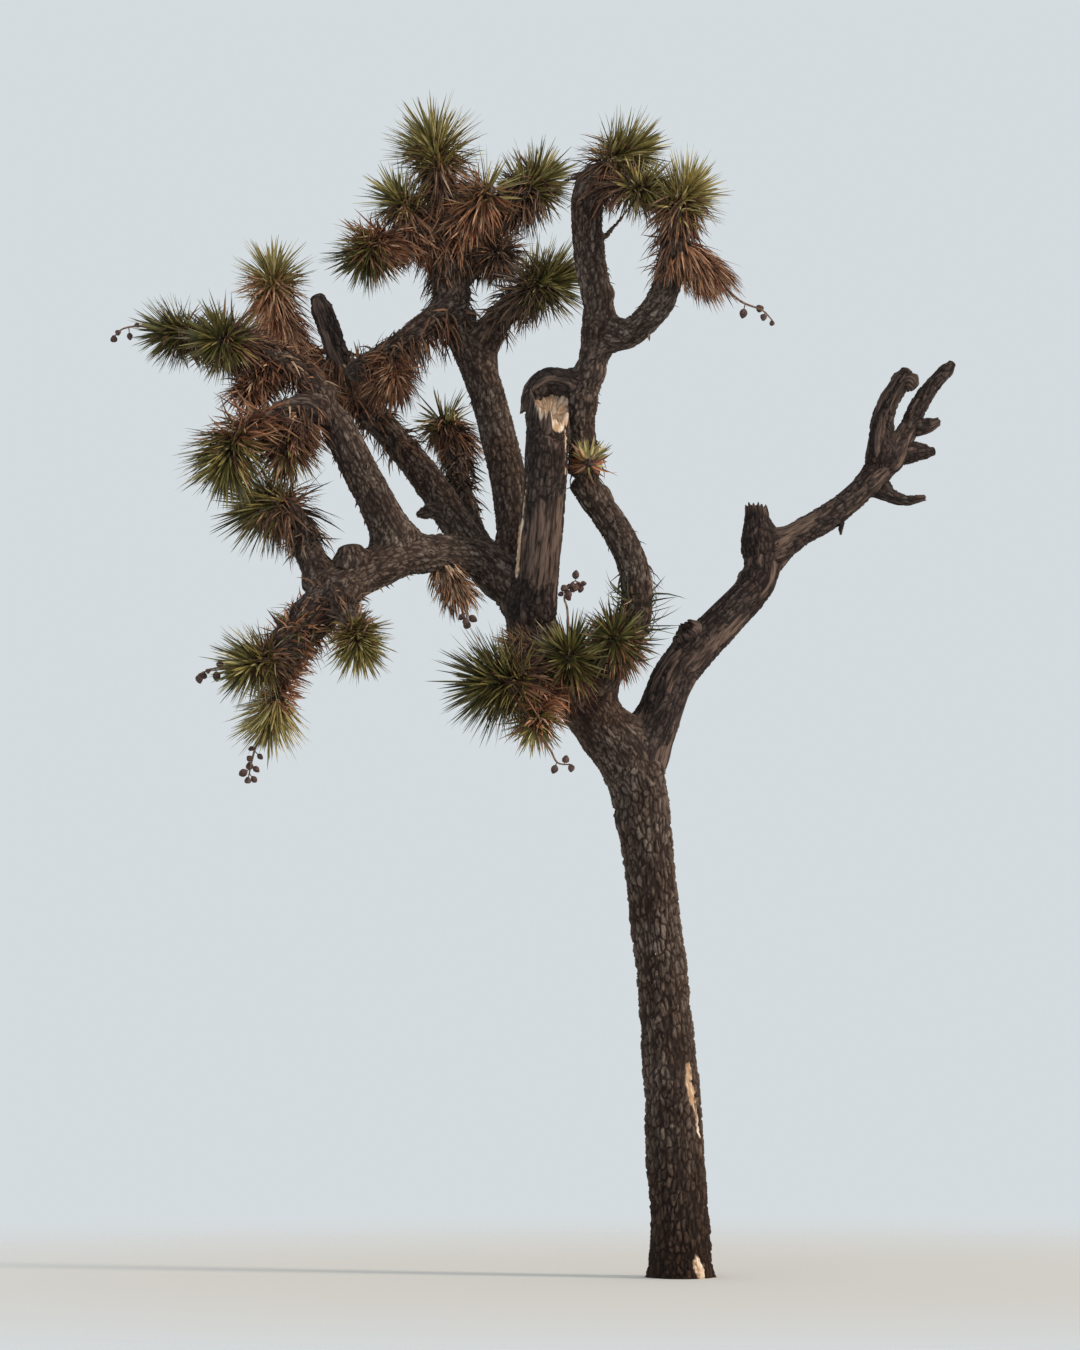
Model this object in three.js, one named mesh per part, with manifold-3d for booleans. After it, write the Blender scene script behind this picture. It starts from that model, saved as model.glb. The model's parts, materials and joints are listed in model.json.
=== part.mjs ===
// A Joshua tree, about 5.9 m tall: a leaning trunk that forks into a dead arm on the right and a
// crown of bent boughs on the left, each bough carrying rosettes of dagger leaves.
// Millimetres, +Z up, +X to the right and +Y away from the viewer. The origin is the middle of the
// flat cut under the trunk, at ground level.
import * as THREE from 'three';
import { mergeVertices } from 'three/addons/utils/BufferGeometryUtils.js';
import Module from 'manifold-3d';

const wasm = await Module();
wasm.setup();

// Clearance between neighbouring solids, and the smallest volume that counts as touching.
const GAP = 0.3;
const TOUCH_VOLUME = 0.01;

// The trunk: its slim middle, the stouter foot, the flare at the roots and the swelling at the fork.
const TRUNK = {
    slimRadius: 124, footExtra: 18, footTop: 1250, footFade: 112,
    flare: 27, flareFade: 110, swelling: 50, swellingFade: 240,
    rootLobes: 3, lobeDepth: 0.1, lobeFade: 160, domeShare: 0.45,
    sides: 16, rings: 15, height: 2590,
    way: [[0, 0, 0], [-40, 15, 840], [-80, 30, 1340], [-140, 20, 1910], [-190, 5, 2330], [-262, 0, 2640]],
};

// How limbs are divided: sides round a limb, and one ring for each step along it. Each kind of end
// narrows the last ring, and splinters stand out by a share of the girth.
const LIMB_SIDES = 8;
const RING_STEP = 190;
const TIP_NARROWING = { flat: 1, dome: 0.62, broken: 0.86 };
const SPLINTER_SHARE = 0.68;

// A rosette is a core on a stem, with dagger leaves standing out of it on a golden-angle spiral.
const GOLDEN_ANGLE = Math.PI * (3 - Math.sqrt(5));
const STEM = { sides: 6, start: 55, end: 0.42 };
const CORE = { across: 0.64, along: 0.72, back: 0.06 };
const DEAD_CORE = { across: 0.5, along: 0.68, back: 0.3 };
const LEAF = { sides: 3, width: 0.32, thickness: 0.12, shoulder: 0.38 };
const LIVE = {
    spread: THREE.MathUtils.degToRad(125), jitter: 0.5,
    rootDepth: 0.3, fallBack: 0.25, sag: 0.16, shortest: 0.9,
};
const DEAD = {
    outward: 0.8, backward: 0.5, downward: 0.5, jitter: 0.6,
    shortest: 0.78, longest: 0.96, skirt: 0.8,
};
const CLEARANCE_SCALE = 1.04;
const TIP_SHARE = 0.97;
const LEAST_ACROSS = 0.2;

// Dry flower stalks and their seed pods.
const STALK = { radius: 9, sides: 4, rings: 4, pod: 27 };

// Seeds of one limb or mass and the next are this far apart.
const SEED_STEP = { limb: 100, mass: 7 };

const LOOKS = {
    bark: { color: 0x62544a, roughness: 0.95, metalness: 0 },
    deadWood: { color: 0x4c4039, roughness: 0.92, metalness: 0 },
    live: { color: 0x5f6430, roughness: 0.6, metalness: 0 },
    dead: { color: 0x8f5f3c, roughness: 0.85, metalness: 0 },
};

// Limbs, from the trunk outward. A limb starts inside the limb that carries it, runs through its
// way-points and tapers from the first girth (diameter) to the second. Its end is flat where foliage
// takes over, domed on an old stump and splintered where it broke off. Spurs are broken side shoots.
const LIMBS = [
    { name: 'bough_left', girth: [300, 250], end: 'dome',
        way: [
            [-260, 0, 2540], [-400, -20, 2740], [-565, -40, 2950],
            [-710, -50, 3170], [-795, -50, 3360],
        ] },
    { name: 'arm_lower', girth: [252, 168], look: 'deadWood',
        way: [[-195, 0, 2560], [-42, 130, 2960], [98, 210, 3145], [368, 370, 3440], [412, 440, 3590]],
        spurs: [{ girth: [105, 70], end: 'broken', way: [[85, 190, 3140], [10, 170, 3240]] }] },
    { name: 'bow_lower', girth: [175, 145],
        way: [
            [-480, -60, 2860], [-335, -120, 3050], [-220, -150, 3310],
            [-262, -175, 3590], [-478, -190, 3930],
        ] },
    { name: 'stem_centre', girth: [195, 185],
        way: [
            [-800, -40, 3330], [-838, 130, 3840], [-985, 260, 4450],
            [-1150, 350, 4850], [-1175, 405, 5240],
        ] },
    { name: 'limb_broken', girth: [222, 220], end: 'broken', look: 'deadWood',
        way: [[-750, -70, 3230], [-705, -230, 3560], [-678, -325, 3900], [-660, -360, 4300]] },
    { name: 'limb_west', girth: [220, 215], end: 'dome',
        way: [
            [-800, -50, 3370], [-1000, -130, 3550], [-1320, -330, 3560],
            [-1620, -510, 3420], [-1760, -600, 3310],
        ],
        spurs: [{ girth: [135, 105], end: 'dome', way: [[-1600, -500, 3430], [-1640, -520, 3595]] }] },
    { name: 'limb_low', girth: [205, 180],
        way: [[-1730, -580, 3330], [-1815, -650, 3200], [-1930, -710, 3090]] },
    { name: 'limb_front', girth: [130, 120],
        way: [[-1660, -530, 3390], [-1620, -700, 3270], [-1590, -800, 3190]] },
    { name: 'limb_riser', girth: [135, 130],
        way: [[-1740, -560, 3370], [-1815, -500, 3560], [-1880, -460, 3720]] },
    { name: 'limb_inner', girth: [200, 188], end: 'dome',
        way: [[-1370, -365, 3560], [-1450, -380, 3730], [-1625, -420, 4070], [-1720, -440, 4270]] },
    { name: 'limb_arch', girth: [130, 110],
        way: [[-1710, -440, 4200], [-1840, -490, 4275], [-1970, -530, 4250]] },
    { name: 'limb_tip', girth: [135, 115],
        way: [[-1720, -440, 4240], [-1850, -400, 4440], [-2040, -380, 4550], [-2230, -370, 4610]] },
    { name: 'limb_outer', girth: [190, 150], end: 'dome',
        way: [[-850, -30, 3400], [-1050, 60, 3640], [-1300, 230, 4020], [-1610, 300, 4380]] },
    { name: 'limb_high', girth: [135, 120],
        way: [[-1600, 300, 4360], [-1790, 300, 4500], [-1925, 290, 4640]] },
    { name: 'stub_high', girth: [118, 115], end: 'dome', look: 'deadWood',
        way: [[-1590, 290, 4350], [-1710, 210, 4580], [-1760, 170, 4730], [-1820, 150, 4890]] },
    { name: 'limb_back', girth: [125, 105],
        way: [[-830, 20, 3450], [-1020, 250, 3680], [-1115, 450, 3980], [-1145, 590, 4190]] },
    { name: 'limb_drooping', girth: [150, 140],
        way: [[-1120, 340, 4870], [-1255, 200, 4770], [-1410, 80, 4645], [-1560, 0, 4540]] },
    { name: 'bow_upper', girth: [140, 134],
        way: [[-455, -190, 3920], [-490, -200, 4220], [-435, -235, 4510], [-380, -285, 4780]] },
    { name: 'limb_curled', girth: [110, 84], end: 'broken', look: 'deadWood',
        way: [
            [-460, -225, 4390], [-560, -235, 4425], [-660, -245, 4430],
            [-735, -250, 4370], [-755, -255, 4280],
        ] },
    { name: 'limb_right_top', girth: [145, 165],
        way: [[-400, -285, 4750], [-447, -315, 5050], [-455, -355, 5300], [-395, -380, 5430]] },
    { name: 'limb_right', girth: [135, 145],
        way: [
            [-400, -275, 4650], [-240, -350, 4662], [-85, -500, 4815],
            [-25, -615, 5080], [-12, -640, 5210],
        ] },
    { name: 'limb_third', girth: [135, 125],
        way: [[-1130, 390, 5060], [-1290, 340, 5200], [-1440, 290, 5200]] },
    { name: 'limb_fifth', girth: [135, 125],
        way: [[-1130, 370, 4990], [-990, 470, 5220], [-840, 560, 5420]] },
    { name: 'limb_sixth', girth: [150, 140],
        way: [[-1010, 300, 4620], [-920, 240, 4780], [-780, 150, 4900]] },
    { name: 'limb_fork', girth: [130, 120],
        way: [[-560, -60, 2960], [-680, -270, 2990], [-780, -390, 2950]] },
    { name: 'arm_stub', girth: [155, 115], end: 'broken', look: 'deadWood',
        way: [[405, 430, 3550], [392, 450, 3720], [382, 452, 3840]] },
    { name: 'arm_upper', girth: [150, 125], look: 'deadWood',
        way: [[412, 440, 3590], [580, 520, 3715], [785, 600, 3840], [1020, 700, 4055]],
        spurs: [{ girth: [86, 40], end: 'broken',
            way: [[970, 680, 4000], [1065, 720, 3935], [1145, 745, 3910], [1240, 760, 3925]] }] },
    { name: 'finger_left', girth: [135, 100], end: 'broken', look: 'deadWood',
        way: [[1010, 700, 4040], [1018, 690, 4240], [1050, 650, 4390], [1150, 590, 4555]] },
    { name: 'finger_right', girth: [115, 80], end: 'broken', look: 'deadWood',
        way: [[1020, 705, 4050], [1115, 745, 4180], [1238, 850, 4440], [1390, 915, 4625]],
        spurs: [
            { girth: [92, 68], end: 'broken',
                way: [[1090, 735, 4140], [1195, 780, 4155], [1290, 800, 4165]] },
            { girth: [70, 52], end: 'broken',
                way: [[1170, 790, 4290], [1255, 800, 4290], [1312, 805, 4315]] },
        ] },
];

// Foliage masses. Each grows from the tip of its limb, or from a share along it, to its centre.
// Reach is the furthest that a leaf stands from the centre. Dead leaves lie back along the stem of a
// rosette, or hang from it where back is 0. Sag is how far the lowest live leaves droop, and base is
// the radius of a thick skirt where it starts at the limb.
const MASSES = [
    { name: 'rosette_top', limb: 'stem_centre',
        centre: [-1255, 455, 5710], reach: 275, live: 17, dead: 10, base: 130 },
    { name: 'rosette_top_left', limb: 'stem_centre', at: 0.95,
        centre: [-1430, 320, 5415], reach: 225, live: 11, dead: 6, base: 90 },
    { name: 'rosette_between', limb: 'stem_centre', at: 0.96,
        centre: [-960, 300, 5460], reach: 230, live: 8, dead: 8, base: 95 },
    { name: 'rosette_third', limb: 'limb_third',
        centre: [-1590, 240, 5110], reach: 225, live: 13, dead: 6, sag: 0.4 },
    { name: 'rosette_fifth', limb: 'limb_fifth',
        centre: [-715, 620, 5545], reach: 245, live: 14, dead: 7, base: 80 },
    { name: 'skirt_fifth', limb: 'limb_fifth', at: 0.42,
        centre: [-890, 330, 5110], reach: 205, live: 0, dead: 10, back: 0 },
    { name: 'rosette_sixth', limb: 'limb_sixth',
        centre: [-640, 90, 4960], reach: 250, live: 16, dead: 5, sag: 0.25 },
    { name: 'rosette_right_top', limb: 'limb_right_top',
        centre: [-240, -400, 5545], reach: 240, live: 16, dead: 4 },
    { name: 'rosette_right_middle', limb: 'limb_right_top', at: 0.93,
        centre: [-150, -585, 5330], reach: 195, live: 10, dead: 3 },
    { name: 'rosette_right', limb: 'limb_right',
        centre: [35, -675, 5310], reach: 230, live: 16, dead: 7 },
    { name: 'skirt_right', limb: 'limb_right', at: 0.84,
        centre: [175, -640, 4895], reach: 220, live: 0, dead: 13, base: 95, back: 0,
        stalk: [[290, -655, 4780], [400, -670, 4730], [450, -670, 4680]] },
    { name: 'rosette_high', limb: 'limb_high',
        centre: [-2050, 250, 5025], reach: 225, live: 12, dead: 14, base: 155 },
    { name: 'rosette_tip', limb: 'limb_tip',
        centre: [-2520, -360, 4665], reach: 210, live: 14, dead: 5, sag: 0.35,
        stalk: [[-2640, -380, 4690], [-2740, -390, 4680], [-2790, -390, 4640]] },
    { name: 'rosette_tip_front', limb: 'limb_tip', at: 0.86,
        centre: [-2265, -565, 4610], reach: 235, live: 12, dead: 6, sag: 0.4 },
    { name: 'skirt_left', limb: 'limb_tip', at: 0.62,
        centre: [-2150, -400, 4330], reach: 175, live: 0, dead: 9, back: 0 },
    { name: 'rosette_arch', limb: 'limb_arch', at: 0.6,
        centre: [-1950, -500, 4040], reach: 235, live: 4, dead: 11, back: 0 },
    { name: 'rosette_left', limb: 'limb_arch',
        centre: [-2215, -650, 4000], reach: 270, live: 16, dead: 5, sag: 0.35 },
    { name: 'rosette_riser', limb: 'limb_riser',
        centre: [-2065, -370, 3800], reach: 275, live: 14, dead: 6, base: 100, sag: 0.3 },
    { name: 'rosette_low', limb: 'limb_low',
        centre: [-2095, -780, 2990], reach: 235, live: 14, dead: 7, base: 95,
        stalk: [[-2250, -800, 2980], [-2335, -805, 2950]] },
    { name: 'rosette_hanging', limb: 'limb_low', at: 0.7,
        centre: [-2008, -550, 2740], reach: 230, live: 13, dead: 6, base: 70, sag: 0.4,
        stalk: [[-2070, -550, 2620], [-2090, -555, 2550], [-2110, -560, 2455]] },
    { name: 'rosette_front', limb: 'limb_front',
        centre: [-1550, -890, 3080], reach: 200, live: 14, dead: 4 },
    { name: 'rosette_back', limb: 'limb_back',
        centre: [-1225, 690, 4320], reach: 205, live: 8, dead: 8, base: 80 },
    { name: 'skirt_drooping', limb: 'limb_drooping', at: 0.72,
        centre: [-1430, -80, 4410], reach: 230, live: 0, dead: 12, base: 100, back: 0 },
    { name: 'skirt_west', limb: 'limb_west', at: 0.42,
        centre: [-1085, -195, 3360], reach: 170, live: 0, dead: 8, back: 0 },
    { name: 'skirt_fork', limb: 'bough_left', at: 0.72,
        centre: [-800, -190, 3095], reach: 170, live: 0, dead: 8, base: 90, back: 0 },
    { name: 'rosette_fork', limb: 'limb_fork',
        centre: [-925, -490, 2925], reach: 310, live: 19, dead: 4 },
    { name: 'rosette_fork_low', limb: 'limb_fork', at: 0.5,
        centre: [-715, -470, 2700], reach: 180, live: 4, dead: 8, back: 0,
        stalk: [[-640, -510, 2600], [-580, -530, 2540], [-605, -540, 2445]] },
    { name: 'rosette_fork_front', limb: 'bough_left', at: 0.5,
        centre: [-545, -355, 3065], reach: 245, live: 12, dead: 8, base: 70,
        stalk: [[-520, -400, 3280], [-540, -400, 3390], [-495, -390, 3435]] },
    { name: 'rosette_fork_right', limb: 'bow_lower', at: 0.25,
        centre: [-330, -350, 3150], reach: 215, live: 9, dead: 10, base: 65 },
    { name: 'rosette_bow', limb: 'bow_upper', at: 0.12,
        centre: [-450, -350, 4015], reach: 150, live: 9, dead: 0 },
];

// A small seeded generator of numbers between 0 and 1, so that every build grows the same tree.
function seededRandom(seed) {
    let state = seed;
    return () => {
        state = (state * 1664525 + 1013904223) % 4294967296;
        return state / 4294967296;
    };
}

const UP = new THREE.Vector3(0, 1, 0);
const toVector = (place) => new THREE.Vector3(...place);

function toCurve(way) {
    return new THREE.CatmullRomCurve3(way.map(toVector), false, 'catmullrom', 0.5);
}

// Turns a closed geometry into a solid that can be cut and joined.
function toSolid(geometry) {
    geometry.deleteAttribute('normal');
    geometry.deleteAttribute('uv');
    const merged = mergeVertices(geometry, 1e-3);
    const corners = merged.index.array;
    const triangles = [];
    for (let first = 0; first < corners.length; first += 3) {
        const [a, b, c] = corners.slice(first, first + 3);
        if (a !== b && b !== c && c !== a) triangles.push(a, b, c);
    }
    return new wasm.Manifold(new wasm.Mesh({
        numProp: 3,
        vertProperties: new Float32Array(merged.attributes.position.array),
        triVerts: new Uint32Array(triangles),
    }));
}

// Keeps the biggest piece of a solid, so that a cut leaves no loose scrap.
function biggestPiece(solid) {
    const pieces = solid.decompose();
    return pieces.reduce((best, piece) => (piece.volume() > best.volume() ? piece : best));
}

// Sweeps a round section along a curve: a closed cylinder whose rings are moved onto the curve.
// radiusAt(share, angle) gives the radius, and endShift(angle) moves the last ring along the curve.
function sweep(curve, radiusAt, { sides, rings, grow = 0, endShift = () => 0 }) {
    const geometry = new THREE.CylinderGeometry(1, 1, 1, sides, rings);
    const frames = curve.computeFrenetFrames(rings, false);
    const places = geometry.attributes.position;
    const spoke = new THREE.Vector3();
    for (let index = 0; index < places.count; index += 1) {
        const ring = Math.round((places.getY(index) + 0.5) * rings);
        const share = ring / rings;
        const x = places.getX(index);
        const z = places.getZ(index);
        const onRim = Math.hypot(x, z) > 0.5;
        const angle = Math.atan2(z, x);
        const point = curve.getPointAt(share);
        if (onRim) {
            spoke.copy(frames.normals[ring]).multiplyScalar(x);
            spoke.addScaledVector(frames.binormals[ring], -z);
            point.addScaledVector(spoke, radiusAt(share, angle) + grow);
        }
        if (ring === 0) point.addScaledVector(frames.tangents[0], -grow);
        if (ring === rings) {
            point.addScaledVector(frames.tangents[rings], grow + (onRim ? endShift(angle) : 0));
        }
        places.setXYZ(index, point.x, point.y, point.z);
    }
    return geometry;
}

function trunkRadius(height, angle) {
    const foot = TRUNK.footExtra / (1 + Math.exp((height - TRUNK.footTop) / TRUNK.footFade));
    const flare = TRUNK.flare * Math.exp(-height / TRUNK.flareFade);
    const swelling = TRUNK.swelling * Math.exp((height - TRUNK.height) / TRUNK.swellingFade);
    const lobe = Math.exp(-height / TRUNK.lobeFade) * Math.cos(TRUNK.rootLobes * angle);
    return (TRUNK.slimRadius + foot + flare + swelling) * (1 + TRUNK.lobeDepth * lobe);
}

// The trunk stands on a flat cut at ground level and ends in a low dome at the fork.
function trunkGeometry(grow = 0) {
    const { sides, rings } = TRUNK;
    const radiusAt = (share, angle) => {
        const height = share * TRUNK.height;
        return trunkRadius(height, angle) * (share === 1 ? TRUNK.domeShare : 1);
    };
    const geometry = sweep(toCurve(TRUNK.way), radiusAt, { sides, rings, grow });
    const places = geometry.attributes.position;
    const firstRing = TRUNK.height / rings / 2;
    for (let index = 0; index < places.count; index += 1) {
        if (places.getZ(index) < firstRing) places.setZ(index, 0);
    }
    return geometry;
}

// One tapering limb, grown by a margin when it is used to cut its neighbours.
function limbGeometry({ girth, way, end = 'flat' }, seed, grow = 0) {
    const curve = toCurve(way);
    const rings = Math.max(2, Math.round(curve.getLength() / RING_STEP));
    const random = seededRandom(seed);
    const jags = Array.from({ length: LIMB_SIDES }, () => random() - 0.5);
    const radiusAt = (share) => {
        const radius = THREE.MathUtils.lerp(girth[0], girth[1], share) / 2;
        return share === 1 ? radius * TIP_NARROWING[end] : radius;
    };
    const endShift = (angle) => {
        if (end !== 'broken') return 0;
        const side = Math.round((angle / (2 * Math.PI)) * LIMB_SIDES + LIMB_SIDES) % LIMB_SIDES;
        return jags[side] * girth[1] * SPLINTER_SHARE;
    };
    return sweep(curve, radiusAt, { sides: LIMB_SIDES, rings, grow, endShift });
}

function withSpurs(limb, seed, grow = 0) {
    const shoots = [limb, ...(limb.spurs ?? [])];
    const solids = shoots.map((shoot, index) => toSolid(limbGeometry(shoot, seed + index, grow)));
    return solids.reduce((joined, solid) => joined.add(solid));
}

function boxesMeet(first, second) {
    const a = first.boundingBox();
    const b = second.boundingBox();
    return [0, 1, 2].every((axis) => a.min[axis] <= b.max[axis] && b.min[axis] <= a.max[axis]);
}

function touches(solid, others) {
    const near = others.filter((other) => boxesMeet(solid, other));
    return near.some((other) => solid.intersect(other).volume() > TOUCH_VOLUME);
}

function cutBy(solid, cutters) {
    const near = cutters.filter((cutter) => boxesMeet(solid, cutter));
    return biggestPiece(near.reduce((rest, cutter) => rest.subtract(cutter), solid));
}

// Trunk and limbs in growing order: each is cut clear of those made before it.
function growLimbs() {
    const solids = new Map([['trunk', toSolid(trunkGeometry())]]);
    const cutters = [toSolid(trunkGeometry(GAP))];
    LIMBS.forEach((limb, index) => {
        const seed = SEED_STEP.limb * (index + 1);
        solids.set(limb.name, cutBy(withSpurs(limb, seed), cutters));
        cutters.push(withSpurs(limb, seed, GAP));
    });
    return { solids, cutters };
}

// A dagger leaf: a three-sided blade, widest near its root, from the root point to the tip.
function leafSolid(root, tip, roll, scale = 1) {
    const along = new THREE.Vector3().subVectors(tip, root);
    const length = along.length();
    const outline = [
        new THREE.Vector2(0, 0),
        new THREE.Vector2(0.5, LEAF.shoulder),
        new THREE.Vector2(0, 1),
    ];
    const geometry = new THREE.LatheGeometry(outline, LEAF.sides);
    geometry.scale(LEAF.width * length * scale, length, LEAF.thickness * length * scale);
    geometry.rotateY(roll);
    geometry.applyQuaternion(new THREE.Quaternion().setFromUnitVectors(UP, along.normalize()));
    geometry.translate(root.x, root.y, root.z);
    return toSolid(geometry);
}

// Where a mass sits: the stem from its limb to its centre, and the two directions across that stem.
function massFrame(mass) {
    const limb = LIMBS.find(({ name }) => name === mass.limb);
    const carrier = toCurve(limb.way);
    const root = carrier.getPointAt(mass.at ?? TIP_SHARE);
    const centre = toVector(mass.centre);
    const straight = new THREE.Vector3().subVectors(centre, root);
    const lead = mass.at ? straight.clone().normalize() : carrier.getTangentAt(1);
    const bend = root.clone().addScaledVector(lead, straight.length() / 2);
    const stem = new THREE.QuadraticBezierCurve3(root, bend, centre);
    const axis = stem.getTangentAt(1);
    const across = new THREE.Vector3(0, 0, 1).cross(axis);
    if (across.length() < LEAST_ACROSS) across.set(1, 0, 0).cross(axis);
    across.normalize();
    return { stem, centre, axis, across, over: new THREE.Vector3().crossVectors(axis, across) };
}

// The stem and core of a mass, and its dry flower stalk where it has one.
function massBody(mass, frame, grow = 0) {
    const { lerp } = THREE.MathUtils;
    const thickness = (share) => lerp(mass.base ?? STEM.start, STEM.end * mass.reach, share);
    const stem = toSolid(sweep(frame.stem, thickness, { sides: STEM.sides, rings: 2, grow }));
    const shape = mass.live > 0 ? CORE : DEAD_CORE;
    const core = new THREE.IcosahedronGeometry(1, 0);
    const [across, along] = [shape.across, shape.along].map((share) => share * mass.reach + grow);
    core.scale(across, along, across);
    core.applyQuaternion(new THREE.Quaternion().setFromUnitVectors(UP, frame.axis));
    const middle = frame.centre.clone().addScaledVector(frame.axis, -shape.back * mass.reach);
    core.translate(middle.x, middle.y, middle.z);
    let body = stem.add(toSolid(core));
    if (mass.stalk) {
        const { radius, sides, rings } = STALK;
        const curve = toCurve([mass.centre, ...mass.stalk]);
        body = body.add(toSolid(sweep(curve, () => radius, { sides, rings, grow })));
        mass.stalk.slice(1).forEach((place) => {
            const pod = new THREE.OctahedronGeometry(STALK.pod + grow, 0);
            pod.translate(...place);
            body = body.add(toSolid(pod));
        });
    }
    return body;
}

function spokeAt(frame, turn) {
    const spoke = frame.across.clone().multiplyScalar(Math.cos(turn));
    return spoke.addScaledVector(frame.over, Math.sin(turn));
}

// Live leaves spread over a cap round the axis, the older ones lower on the stem and sagging.
function liveLeaf(mass, frame, index, random) {
    const share = (index + 0.5) / mass.live;
    const cosine = 1 - (1 - Math.cos(LIVE.spread)) * share;
    const spoke = spokeAt(frame, index * GOLDEN_ANGLE + random() * LIVE.jitter);
    const heading = frame.axis.clone().multiplyScalar(cosine);
    heading.addScaledVector(spoke, Math.sqrt(1 - cosine * cosine));
    heading.z -= (mass.sag ?? LIVE.sag) * share;
    heading.normalize();
    const root = frame.centre.clone().addScaledVector(heading, mass.reach * LIVE.rootDepth);
    root.addScaledVector(frame.axis, -mass.reach * LIVE.fallBack * share);
    const length = THREE.MathUtils.lerp(LIVE.shortest, 1, random());
    const tip = frame.centre.clone().addScaledVector(heading, mass.reach * length);
    return [root, tip];
}

// Dead leaves hang from the stem, from under the rosette back toward the limb.
function deadLeaf(mass, frame, index, random) {
    const along = 1 - ((index + 0.5) / mass.dead) * DEAD.skirt;
    const root = frame.stem.getPointAt(along);
    const heading = spokeAt(frame, index * GOLDEN_ANGLE + random() * DEAD.jitter);
    heading.multiplyScalar(DEAD.outward);
    heading.addScaledVector(frame.stem.getTangentAt(along), -(mass.back ?? DEAD.backward));
    heading.z -= DEAD.downward;
    heading.normalize();
    const length = THREE.MathUtils.lerp(DEAD.shortest, DEAD.longest, random());
    const tip = root.clone().addScaledVector(heading, mass.reach * length);
    return [root, tip];
}

// Fuses onto a body the leaves that clear the limbs and every other mass.
function addLeaves(mass, frame, body, obstacles, random) {
    const leaves = [];
    const rules = [[mass.live, liveLeaf], [mass.dead, deadLeaf]];
    rules.forEach(([count, rule]) => {
        for (let index = 0; index < count; index += 1) {
            const [root, tip] = rule(mass, frame, index, random);
            const roll = random() * Math.PI;
            const roomy = leafSolid(root, tip, roll, CLEARANCE_SCALE);
            if (!touches(roomy, obstacles)) leaves.push(leafSolid(root, tip, roll));
        }
    });
    return leaves.reduce((joined, leaf) => joined.add(leaf), body);
}

// Foliage masses: their bodies first, each cut clear of those made before it, then their leaves.
function growMasses(limbCutters) {
    const frames = MASSES.map(massFrame);
    const solids = [];
    const taken = [...limbCutters];
    MASSES.forEach((mass, index) => {
        solids.push(cutBy(massBody(mass, frames[index]), taken));
        taken.push(massBody(mass, frames[index], GAP));
    });
    MASSES.forEach((mass, index) => {
        const others = solids.filter((_, other) => other !== index);
        const obstacles = [...limbCutters, ...others];
        const random = seededRandom(SEED_STEP.mass * (index + 1));
        const leafy = addLeaves(mass, frames[index], solids[index], obstacles, random);
        solids[index] = biggestPiece(leafy);
    });
    return new Map(MASSES.map((mass, index) => [mass.name, solids[index]]));
}

function toMesh(name, solid, look) {
    const { vertProperties, triVerts } = solid.getMesh();
    const geometry = new THREE.BufferGeometry();
    geometry.setAttribute('position', new THREE.BufferAttribute(vertProperties, 3));
    geometry.setIndex(new THREE.BufferAttribute(triVerts, 1));
    geometry.computeVertexNormals();
    const material = new THREE.MeshStandardMaterial({ ...LOOKS[look], flatShading: true });
    const mesh = new THREE.Mesh(geometry, material);
    mesh.name = name;
    return mesh;
}

function buildTree() {
    const tree = new THREE.Group();
    const wood = new THREE.Group();
    const foliage = new THREE.Group();
    const limbs = growLimbs();
    limbs.solids.forEach((solid, name) => {
        const limb = LIMBS.find((entry) => entry.name === name);
        wood.add(toMesh(name, solid, limb?.look ?? 'bark'));
    });
    growMasses(limbs.cutters).forEach((solid, name) => {
        const { live } = MASSES.find((entry) => entry.name === name);
        foliage.add(toMesh(name, solid, live > 0 ? 'live' : 'dead'));
    });
    tree.add(wood, foliage);
    return tree;
}

export default buildTree();
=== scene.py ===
"""A Joshua tree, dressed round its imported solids.

The trunk and boughs get skins of corky bark worked out on grids. Each foliage solid gives way to the
leaves that grow by its rule: stiff live daggers round the tip of a stem, dry ones lying back under
them, and dry flower stalks with their pods. Places are millimetres in the tables and metres in the
meshes, with +Z up, +X to the right and +Y away from the viewer.
"""
from __future__ import annotations

import json
import logging
import math
from dataclasses import dataclass, field, fields
from enum import Enum, IntEnum
from functools import partial
from typing import Any, Callable, ClassVar, Iterable, Sequence

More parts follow.
